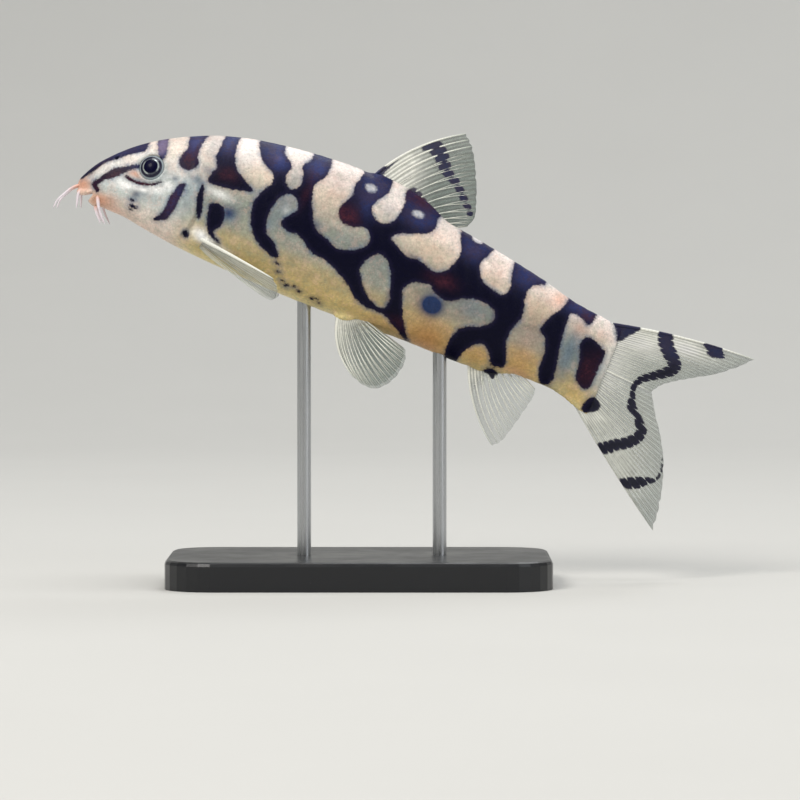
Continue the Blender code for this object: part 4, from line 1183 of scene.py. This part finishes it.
def base_material():
    """Black acrylic with a fine satin finish and faint dust."""
    made, t = new_material("satin_black_acrylic")
    return finish_material(
        made, t, Base_Color=t.blend(t.dots(2.6, 0.05) * 0.4, ACRYLIC, DUST), Specular_IOR_Level=0.4,
        Roughness=t.clouds(14.0, 0.5).spread(0.7, 1.3, 0.26, 0.42), Coat_Weight=0.1, Coat_Roughness=0.12,
        Normal=t.bump(t.group(GRAIN, "Height", Grain=0.5), 0.00001, 0.4),
    )


def rod_material():
    """Drawn steel rod, with fine lines along it."""
    made, t = new_material("drawn_steel")
    stretched = {"Vector": t.places(), "Scale": (9000.0, 9000.0, 60.0)}
    lines = t.noise(t.add("ShaderNodeMapping", 0, stretched), 1.0, 2.0)
    return finish_material(
        made, t, Base_Color=t.blend(lines, STEEL, BRIGHT_STEEL), Metallic=1.0,
        Roughness=lines.spread(0.2, 0.8, 0.2, 0.36), Normal=t.bump(lines, 0.00001, 0.4),
    )


def studio_material():
    """Pale matt paper."""
    made, t = new_material("studio_paper")
    colour = t.shaded(PAPER, t.clouds(220.0, 0.04))
    return finish_material(made, t, Base_Color=colour, Roughness=0.95, Specular_IOR_Level=0.1)


# Strands: anything round that follows a path


def strand_tree():
    """Round tapered strands along the edges of a mesh, with small knuckles where a ray is jointed."""
    made, t, given, result = new_group(
        "tapered strands", "GeometryNodeTree",
        {
            "Paths": ("NodeSocketGeometry", None), "Sides": ("NodeSocketInt", 8), "Joints": (NUMBER, 0.0),
            "Joint Depth": (NUMBER, 0.0), "Finish": ("NodeSocketMaterial", None),
        },
        {"Strands": "NodeSocketGeometry"},
    )
    curves = t.add("GeometryNodeMeshToCurve", "Curve", {"Mesh": given["Paths"]})
    girth = t.add("GeometryNodeInputNamedAttribute", 0, {"Name": "girth"}, data_type="FLOAT")
    factor = t.add("GeometryNodeSplineParameter", "Factor")
    knuckle = (factor * given["Joints"] * (2 * math.pi)).wave("COSINE") * given["Joint Depth"]
    circle = {"Resolution": given["Sides"], "Radius": 1.0}
    sweep = {
        "Curve": curves, "Profile Curve": t.add("GeometryNodeCurvePrimitiveCircle", "Curve", circle),
        "Scale": girth * (knuckle + 1.0), "Fill Caps": True,
    }
    tubes = t.add("GeometryNodeCurveToMesh", "Mesh", sweep)
    real = t.add("GeometryNodeRealizeInstances", "Geometry", {"Geometry": tubes})
    done = t.add("GeometryNodeSetMaterial", "Geometry", {"Geometry": real, "Material": given["Finish"]})
    t.fill(result, {"Strands": done})
    return made


def strands(name, tree, paths, finish, sides=8, joints=0.0, joint_depth=0.0):
    """A mesh of round strands, one for each (points, girths) in paths, made by the strand tree."""
    points, edges, girths, along = [], [], [], []
    for path, girth in paths:
        start = len(points)
        points += [tuple(p) for p in path]
        edges += [(start + i, start + i + 1) for i in range(len(path) - 1)]
        girths += list(np.asarray(girth) * MM)
        along += list(np.linspace(0, 1, len(path)))
    mesh = bpy.data.meshes.new(name)
    mesh.from_pydata(points, edges, [])
    set_attribute(mesh, "girth", girths)
    set_attribute(mesh, "along", along)
    made = new_object(name, mesh)
    modifier = made.modifiers.new("strands", "NODES")
    modifier.node_group = tree
    values = {"Sides": sides, "Joints": joints, "Joint Depth": joint_depth, "Finish": finish}
    for item in tree.interface.items_tree:
        if item.in_out == "INPUT" and item.name in values:
            modifier[item.identifier] = values[item.name]
    settle(evaluated(made))
    return made


# Skin


def body_rings(stations, around):
    up, out = np.sin(angles(around)), np.cos(angles(around))
    rings = []
    for s in stations:
        middle, reach, full = section(s, up > 0)
        h = middle + np.sign(up) * reach * np.abs(up) ** (2 / full)
        y = np.sign(out) * (half_width(s) + soft_spots(s, h, SWELLINGS)) * np.abs(out) ** (2 / full)
        rings.append(place(s, y, h))
    return rings


def body_path(points, girths, steps=10):
    """A strand's path through points of the fish's frame, and its girth along it."""
    t = np.linspace(0, 1, (len(points) - 1) * steps + 1)
    line = smooth_line(points)(t)
    spaced = np.interp(t, np.linspace(0, 1, len(girths)), girths)
    return place(line[:, 0], line[:, 1], line[:, 2]), spaced


def both_sides(half):
    return [*half, *[(s, -y, h) for s, y, h in reversed(half[:-1])]]


def head_forms(tree):
    """What stands out from the head: lips, chin lobes, eye rims and nostril rims."""
    lip = [LIP_RADIUS * k for k in (0.7, 1.0, 1.15, 1.2, 1.15, 1.0, 0.7)]
    lips = [body_path(both_sides(line), lip, 6) for line in (UPPER_LIP, LOWER_LIP)]
    forms = [strands("lip", tree, [path], None, 14) for path in lips]
    for side in (-1, 1):
        s, y, h = CHIN_LOBE
        forms.append(ball("chin_lobe", place(s, side * y, h), CHIN_LOBE_RADII))
        point, out = skin_point(EYE_S, EYE_H, side)
        forms.append(rim("eye_rim", point - out * RIM_SUNK * MM, out, RIM_RADIUS, RIM_THICK))
        point, out = skin_point(NOSTRIL_S, NOSTRIL_H, side)
        proud = point + out * NOSTRIL_PROUD * MM
        forms.append(rim("nostril_rim", proud, out, NOSTRIL_RADIUS, NOSTRIL_WALL))
    return forms


def fin_bases(tree):
    """The low fleshy sheaths and balls that the fins rise from."""
    forms = [strands("sheath", tree, [body_path(*sheath)], None, 12) for sheath in SHEATHS]
    for side in (-1, 1):
        for name, ((s, y, h), radii) in FIN_BALLS.items():
            forms.append(ball(name, place(s, side * y, h), radii))
    return forms


def head_openings(tree):
    """What is cut from the head: the mouth, the nostrils, the eye sockets and the slit under each eye."""
    rows = [place(np.array([s for s, _ in MOUTH]), y, np.array([h for _, h in MOUTH]))
            for y in (-MOUTH_HALF_WIDTH, MOUTH_HALF_WIDTH)]
    cuts = [new_object("mouth", rings_mesh("mouth", rows))]
    for side in (-1, 1):
        point, out = skin_point(EYE_S, EYE_H, side)
        socket = (EYE_RADIUS - 0.05, EYE_RADIUS - 0.05, EYE_DEPTH)
        cuts.append(ball("socket", point - out * (EYE_SUNK - 0.1) * MM, socket, out))
        point, out = skin_point(NOSTRIL_S, NOSTRIL_H, side)
        pit = NOSTRIL_RADIUS - NOSTRIL_WALL / 2
        cuts.append(ball("nostril", point, (pit, pit, NOSTRIL_DEPTH), out))
        slit = [(s, side * (float(flank(s, h)) + 0.02), h) for s, h in CHEEK_SLIT]
        width = [CHEEK_SLIT_RADIUS * k for k in (0.5, 1.0, 1.0, 0.5)]
        cuts.append(strands("slit", tree, [body_path(slit, width, 6)], None, 10))
    return cuts


# The loft's rings, the size of the skin's cells and how often it is smoothed, and the head's zoom
SKIN_VOXEL, SKIN_SMOOTHING = 0.29, 4
FIRST_RING_S, HEAD_END_S, HEAD_RINGS, TRUNK_RINGS, RING_POINTS = 0.02, 24.0, 60, 70, 96
HEAD_ZOOM, ZOOM_FULL_S, ZOOM_END_S = 1.36, 15.0, 27.0


def zoom(s):
    """How much larger the head is made while the skin is melted together, so that it keeps finer detail."""
    return 1 + (HEAD_ZOOM - 1) * smooth_step(ZOOM_END_S, ZOOM_FULL_S, s)


# Distances along the fish, and the same ones once the head is zoomed
ZOOM_S = np.linspace(-12.0, 112.0, 1241)
ZOOM_STEPS = (zoom(ZOOM_S[1:]) + zoom(ZOOM_S[:-1])) / 2 * np.diff(ZOOM_S)
ZOOMED_S = np.concatenate([[0.0], np.cumsum(ZOOM_STEPS)])


def set_places(mesh, places):
    mesh.vertices.foreach_set("co", places.astype(np.float32).ravel())
    mesh.update()


def skin_relief(s, h):
    """How far the skin stands out from its smooth form, in millimetres."""
    past = s - (GILL_S + GILL_REACH * bell(h - GILL_H, GILL_SPREAD))
    open_part = smooth_step(-2.6, -0.6, h) * smooth_step(12.5, 8.5, h)
    relief = open_part * (GILL_EDGE * bell(past + 0.55, 0.5) - GILL_GROOVE * bell(past - 0.1, 0.42))
    lateral = np.interp(s, LATERAL_LINE_S, LATERAL_LINE_H)
    relief -= LATERAL_GROOVE * bell(h - lateral, 0.28) * smooth_step(22, 26, s)
    muscle = np.sin((s + 0.55 * np.abs(h - lateral)) * 2 * math.pi / MUSCLE_SPACING)
    relief += MUSCLE_HEIGHT * muscle * smooth_step(24, 32, s) * smooth_step(96, 90, s)
    crease = s - (13.9 + 0.12 * (h - 4) ** 2)
    relief -= CHEEK_CREASE * bell(crease, 0.3) * smooth_step(-0.5, 1.0, h) * smooth_step(7.5, 6.0, h)
    return relief


def make_skin(tree, finish):
    """One skin for head, trunk and tail: the body's loft with lips, rims and sheaths, melted together."""
    head = np.linspace(math.sqrt(FIRST_RING_S), math.sqrt(HEAD_END_S), HEAD_RINGS) ** 2
    trunk = np.linspace(HEAD_END_S, BODY_END, TRUNK_RINGS)[1:]
    rings = body_rings([*head, *trunk], RING_POINTS)
    body = new_object("loach_skin", rings_mesh("loach_skin", rings))
    combine(body, "UNION", [*head_forms(tree), *fin_bases(tree)])
    combine(body, "DIFFERENCE", head_openings(tree))
    s, y, h = unplace(vertex_places(body.data))
    set_places(body.data, np.stack([np.interp(s, ZOOM_S, ZOOMED_S), y * zoom(s), h * zoom(s)], -1) * MM)
    remesh = body.modifiers.new("melt", "REMESH")
    remesh.mode = "VOXEL"
    remesh.voxel_size = SKIN_VOXEL * MM
    smooth = body.modifiers.new("soften", "SMOOTH")
    smooth.factor = 0.5
    smooth.iterations = SKIN_SMOOTHING
    mesh = evaluated(body)
    along, y, h = (vertex_places(mesh) / MM).T
    s = np.interp(along, ZOOMED_S, ZOOM_S)
    y, h = y / zoom(s), h / zoom(s)
    places = place(s, y, h)
    set_places(mesh, places)
    normals = np.empty(len(places) * 3, np.float32)
    mesh.vertex_normals.foreach_get("vector", normals)
    places += normals.reshape(-1, 3) * skin_relief(s, h)[:, None] * MM
    set_places(mesh, places)
    paint(mesh)
    dress(mesh, finish)
    mesh.shade_smooth()
    return body


# Eyes


def make_eye(name, side, finish):
    """An eyeball: a domed iris round a pupil whose lens stands a little proud."""
    point, out = skin_point(EYE_S, EYE_H, side)
    centre = point - out * EYE_SUNK * MM
    turn = np.array(out.to_track_quat("Z", "Y").to_matrix())
    across = [np.linspace(0.02, 1.0, EYE_FRONT_RINGS), np.linspace(0.98, 0.1, EYE_REAR_RINGS)]
    across = np.concatenate(across) * EYE_RADIUS
    front = np.arange(len(across)) < EYE_FRONT_RINGS
    height = EYE_DEPTH * np.sqrt(np.maximum(1 - (across / EYE_RADIUS) ** 2, 0)) * np.where(front, 1, -1)
    lens = LENS_HEIGHT * np.sqrt(np.maximum(1 - (across / (PUPIL_RADIUS * LENS_SPREAD)) ** 2, 0))
    height += np.where(front, lens, 0)
    angle = angles(EYE_SIDES)
    rings = [circle(angle, r, up) @ turn.T * MM + np.array(centre) for r, up in zip(across, height)]
    made = new_object(name, rings_mesh(name, rings), finish)
    radial = np.repeat(np.where(front, across, 2.0), EYE_SIDES)
    set_attribute(made.data, "radial", [*radial, 0.0, 2.0])
    arc = np.tile(np.abs(np.cos(angle + side * RING_TURN)), len(across))
    set_attribute(made.data, "arc", [*arc, 1.0, 1.0])
    return made


# Fins


def fin_surface(plan, side):
    """A function of (t, v): t runs from a fin's first ray to its last, v from its root to its margin."""
    root, margin = smooth_line(plan["root"]), smooth_line(plan["margin"])
    first, last = plan["bow"]

    def read(t, v):
        start, end = root(t), margin(t)
        ray = end - start
        ahead = np.stack([-ray[..., 2], np.zeros_like(t), ray[..., 0]], -1)
        ahead /= np.linalg.norm(ahead, axis=-1, keepdims=True)
        curve = (first * (1 - t) + last * t) * 4 * v * (1 - v)
        spot = start + ray * v[..., None] + ahead * curve[..., None]
        return place(spot[..., 0], side * spot[..., 1], spot[..., 2])

    return read


def make_web(name, plan, side, finish, random):
    """The membrane: a thin closed sheet, pleated between the rays, with a softly notched margin."""
    surface = fin_surface(plan, side)
    gaps = plan["rays"] - 1
    phase = np.linspace(0, gaps, gaps * WEB_STEPS + 1)
    notch = np.repeat(random.uniform(*NOTCHES, gaps), WEB_STEPS)
    notch = np.append(notch, notch[-1])
    between = (1 - np.cos(2 * math.pi * phase)) / 2
    reach = 1 - notch * between
    t, row = np.meshgrid(phase / gaps, np.linspace(0, 1, WEB_ROWS), indexing="ij")
    v = row * reach[:, None]
    middle = surface(t, v)
    normal = np.cross(np.gradient(middle, axis=0), np.gradient(middle, axis=1))
    normal /= np.linalg.norm(normal, axis=-1, keepdims=True)
    thick = (WEB_ROOT + (WEB_TIP - WEB_ROOT) * v) * (1 - WEB_THINNING * between[:, None])
    sag = WEB_SAG * between[:, None] * v
    faces_at = [middle + normal * (sag + sign * thick / 2)[..., None] * MM for sign in (1, -1)]
    count_t, count_v = t.shape
    index = np.arange(count_t * count_v).reshape(count_t, count_v)
    faces = []
    for i in range(count_t - 1):
        for j in range(count_v - 1):
            quad = (index[i, j], index[i + 1, j], index[i + 1, j + 1], index[i, j + 1])
            faces.append(quad)
            faces.append(tuple(k + index.size for k in reversed(quad)))
    rim_line = [*index[:, 0], *index[-1, 1:], *index[-2::-1, -1], *index[0, -2:0:-1]]
    for a, b in zip(rim_line, [*rim_line[1:], rim_line[0]]):
        faces.append((a, b, b + index.size, a + index.size))
    mesh = bpy.data.meshes.new(name)
    points = np.vstack([f.reshape(-1, 3) for f in faces_at])
    mesh.from_pydata(points.tolist(), [], [tuple(map(int, face)) for face in faces])
    settle(mesh)
    paint(mesh, on_fin=True)
    set_attribute(mesh, "phase", np.tile(np.repeat(phase, count_v), 2))
    to_ray = np.abs((phase + 0.5) % 1 - 0.5)
    depth, width = plan["parting"]
    parting = BAND_WIDENING - depth * bell(to_ray, width)
    shift_dark(mesh, np.tile((parting[:, None] * smooth_step(*BANDS_FROM, v)).ravel(), 2))
    set_attribute(mesh, "veil", np.tile((plan["veil"] * (1 - 0.3 * v)).ravel(), 2))
    edge = plan["streak"] * bell(t, plan.get("streak_width", STREAK_WIDTH)) * (1 - 0.4 * v)
    edge += plan.get("fleshy", 1.0) * bell(v, FLESHY_WIDTH)
    set_attribute(mesh, "milk", milkiness(mesh, np.tile(edge.ravel(), 2)))
    return new_object(name, mesh, finish)


def milkiness(mesh, edge):
    """How opaque the membrane is: milky in some areas, at its root and along its leading edge."""
    s, _, h = unplace(vertex_places(mesh))
    return np.clip(soft_spots(s, h, MILK) + edge, 0, 1)


def shift_dark(mesh, shift):
    """Widens the dark markings by a shift, in millimetres."""
    values = (stored(mesh, "dark") + shift).astype(np.float32)
    mesh.attributes["dark"].data.foreach_set("value", values)


def ray_paths(plan, surface):
    """The filaments of every ray: one in a plain ray, four in a branched one, which part on their way out."""
    gaps = plan["rays"] - 1
    v = np.linspace(0.0, 1.0, RAY_POINTS)
    start, end = plan["fork"]
    paths = []
    for ray in range(plan["rays"]):
        plain = ray < plan["plain"]
        for offset in (0.0,) if plain else FILAMENTS:
            branch, twig = np.sign(offset) * BRANCH, offset - np.sign(offset) * TWIG_FROM
            bend = branch * smooth_step(start, end, v) + twig * smooth_step((start + end) / 2 + 0.1, 1.0, v)
            t = np.clip((ray + bend) / gaps, 0, 1)
            share = (plan["lead"] if ray == 0 else 1.0) if plain else FILAMENT_GIRTH
            girth = plan["girth"] * share * (1.25 - 0.85 * v) * np.where(v > 0.97, 0.5, 1)
            paths.append((surface(t, v), girth))
    return paths


def make_fin(name, plan, side, tree, finishes, random):
    """A fin's membrane and its rays."""
    web = make_web(name + "_web", plan, side, finishes["web"], random)
    paths = ray_paths(plan, fin_surface(plan, side))
    rays = strands(name + "_rays", tree, paths, finishes["ray"], RAY_SIDES, RAY_JOINTS, RAY_JOINT_DEPTH)
    paint(rays.data, on_fin=True)
    shift_dark(rays.data, -plan["ray_pale"] * smooth_step(*BANDS_FROM, stored(rays.data, "along")))
    for piece in (web, rays):
        carry(piece, "fin", name)


# Barbels


def make_barbels(tree, finish):
    """Soft tapering feelers, those of the right side a little more spread."""
    for name, path in BARBELS.items():
        for side, where in SIDES:
            splay = BARBEL_SPLAY if side > 0 else 0.0
            bend = [splay * (i / (len(path) - 1)) ** 2 for i in range(len(path))]
            line = [(s + b, side * y, h + 0.6 * b) for (s, y, h), b in zip(path, bend)]
            root = BARBEL_ROOT * (FRONT_BARBEL_GIRTH if name == "barbel_snout_front" else 1.0)
            points, girth = body_path(line, (*[root * k for k in BARBEL_TAPER], BARBEL_TIP), 12)
            girth[-2:] *= (0.7, 0.3)
            made = strands(name + where + "_skin", tree, [(points, girth)], finish, 14)
            carry(made, "barbel", name + where)


# Stand


def make_stand(finishes):
    """The base gets its finish; each rod is a finer one that ends inside the belly."""
    dress(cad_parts["stand_base"].data, finishes["base"])
    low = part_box("stand_base")[1][2] - 1.0 * MM
    for node, s in RODS.items():
        x, y, high = place(np.array(s), np.array(0.0), belly(s) + ROD_INTO_BODY)
        rings = [
            circle(angles(ROD_SIDES), ROD_RADIUS * MM * k, z) + (x, y, 0)
            for z, k in ((low, 1.0), (high - 0.2 * MM, 1.0), (high, 0.85))
        ]
        mesh = rings_mesh(node + "_steel", rings)
        mesh.set_sharp_from_angle(angle=math.radians(40))
        carry(new_object(node + "_steel", mesh, finishes["rod"]), "rod", node)


# Studio


def camera_places():
    """Where the photo's camera is and what it looks at, in metres."""
    centre_x = SNOUT_X + (PHOTO_WIDTH / 2 - SNOUT_PIXEL[0]) / PIXELS_PER_MM
    centre_z = SNOUT_Z - (PHOTO_WIDTH / 2 - SNOUT_PIXEL[1]) / PIXELS_PER_MM
    target = Vector((centre_x, 0, centre_z)) * MM
    return target + Vector((0, -math.cos(CAMERA_RISE), math.sin(CAMERA_RISE))) * CAMERA_DISTANCE, target


def aim(made, spot, target):
    """Puts a lamp or a camera at a spot, facing a target."""
    made.location = spot
    made.rotation_euler = (Vector(target) - Vector(spot)).to_track_quat("-Z", "Y").to_euler()
    return made


SWEEP_CENTRE_Y, SWEEP_FLAT, SWEEP_RISE, SWEEP_TOP, SWEEP_SIDES = -0.5, 1.0, 1.0, 2.6, 96


def make_studio(finish):
    """A pale floor that curves up all round, soft lights, and the camera where the photo's was."""
    profile = [(0.5, 0.0), (SWEEP_FLAT, 0.0)]
    profile += [
        (SWEEP_FLAT + SWEEP_RISE * math.sin(a), SWEEP_RISE * (1 - math.cos(a)))
        for a in np.linspace(0.05, math.pi / 2, 24)
    ]
    profile.append((SWEEP_FLAT + SWEEP_RISE, SWEEP_TOP))
    rings = [circle(angles(SWEEP_SIDES), r, z) for r, z in profile]
    points = np.vstack([np.zeros((1, 3)), *rings]) + (0, SWEEP_CENTRE_Y, 0)
    around = list(enumerate([*range(1, SWEEP_SIDES), 0]))
    faces = [(0, 1 + k, 1 + after) for k, after in around]
    for low in range(1, 1 + SWEEP_SIDES * (len(rings) - 1), SWEEP_SIDES):
        high = low + SWEEP_SIDES
        faces += [(low + k, high + k, high + after, low + after) for k, after in around]
    mesh = bpy.data.meshes.new("studio_floor")
    mesh.from_pydata(points.tolist(), [], faces)
    mesh.shade_smooth()
    new_object("studio_floor", mesh, finish)
    for name, (spot, size, power, colour) in LAMPS.items():
        light = bpy.data.lights.new(name, "AREA")
        light.shape = "DISK"
        light.size, light.energy, light.color = size, power, colour
        aim(new_thing(name, light), spot, LAMPS_AIM)
    world = bpy.data.worlds.new("soft_room")
    bpy.context.scene.world = world
    world.use_nodes = True
    background = world.node_tree.nodes["Background"].inputs
    background["Color"].default_value, background["Strength"].default_value = ROOM_COLOUR, ROOM_LIGHT
    spot, target = camera_places()
    data = bpy.data.cameras.new("photo_camera")
    data.sensor_width = 36.0
    data.lens = data.sensor_width * CAMERA_DISTANCE / (PHOTO_WIDTH / PIXELS_PER_MM * MM)
    data.clip_start, data.clip_end = 0.01, 20.0
    bpy.context.scene.camera = aim(new_thing("photo_camera", data), spot, target)
    bpy.context.scene.view_settings.view_transform = "Standard"


def main():
    finishes = {
        "skin": skin_material(), "ray": ray_material(), "web": web_material(), "barbel": barbel_material(),
        "eye": eye_material(), "base": base_material(), "rod": rod_material(),
    }
    make_studio(studio_material())
    tree = strand_tree()
    carry(make_skin(tree, finishes["skin"]), "skin", "head", "trunk", "tail")
    for side, where in SIDES:
        carry(make_eye("eyeball" + where, side, finishes["eye"]), "eye", "eye" + where)
    random = np.random.default_rng(SEED)
    for name, plan in FINS.items():
        paired = len(plan["root"][0]) == 3
        for side, where in SIDES if paired else ((1, ""),):
            make_fin(name + where, plan, side, tree, finishes, random)
    make_barbels(tree, finishes["barbel"])
    make_stand(finishes)


main()
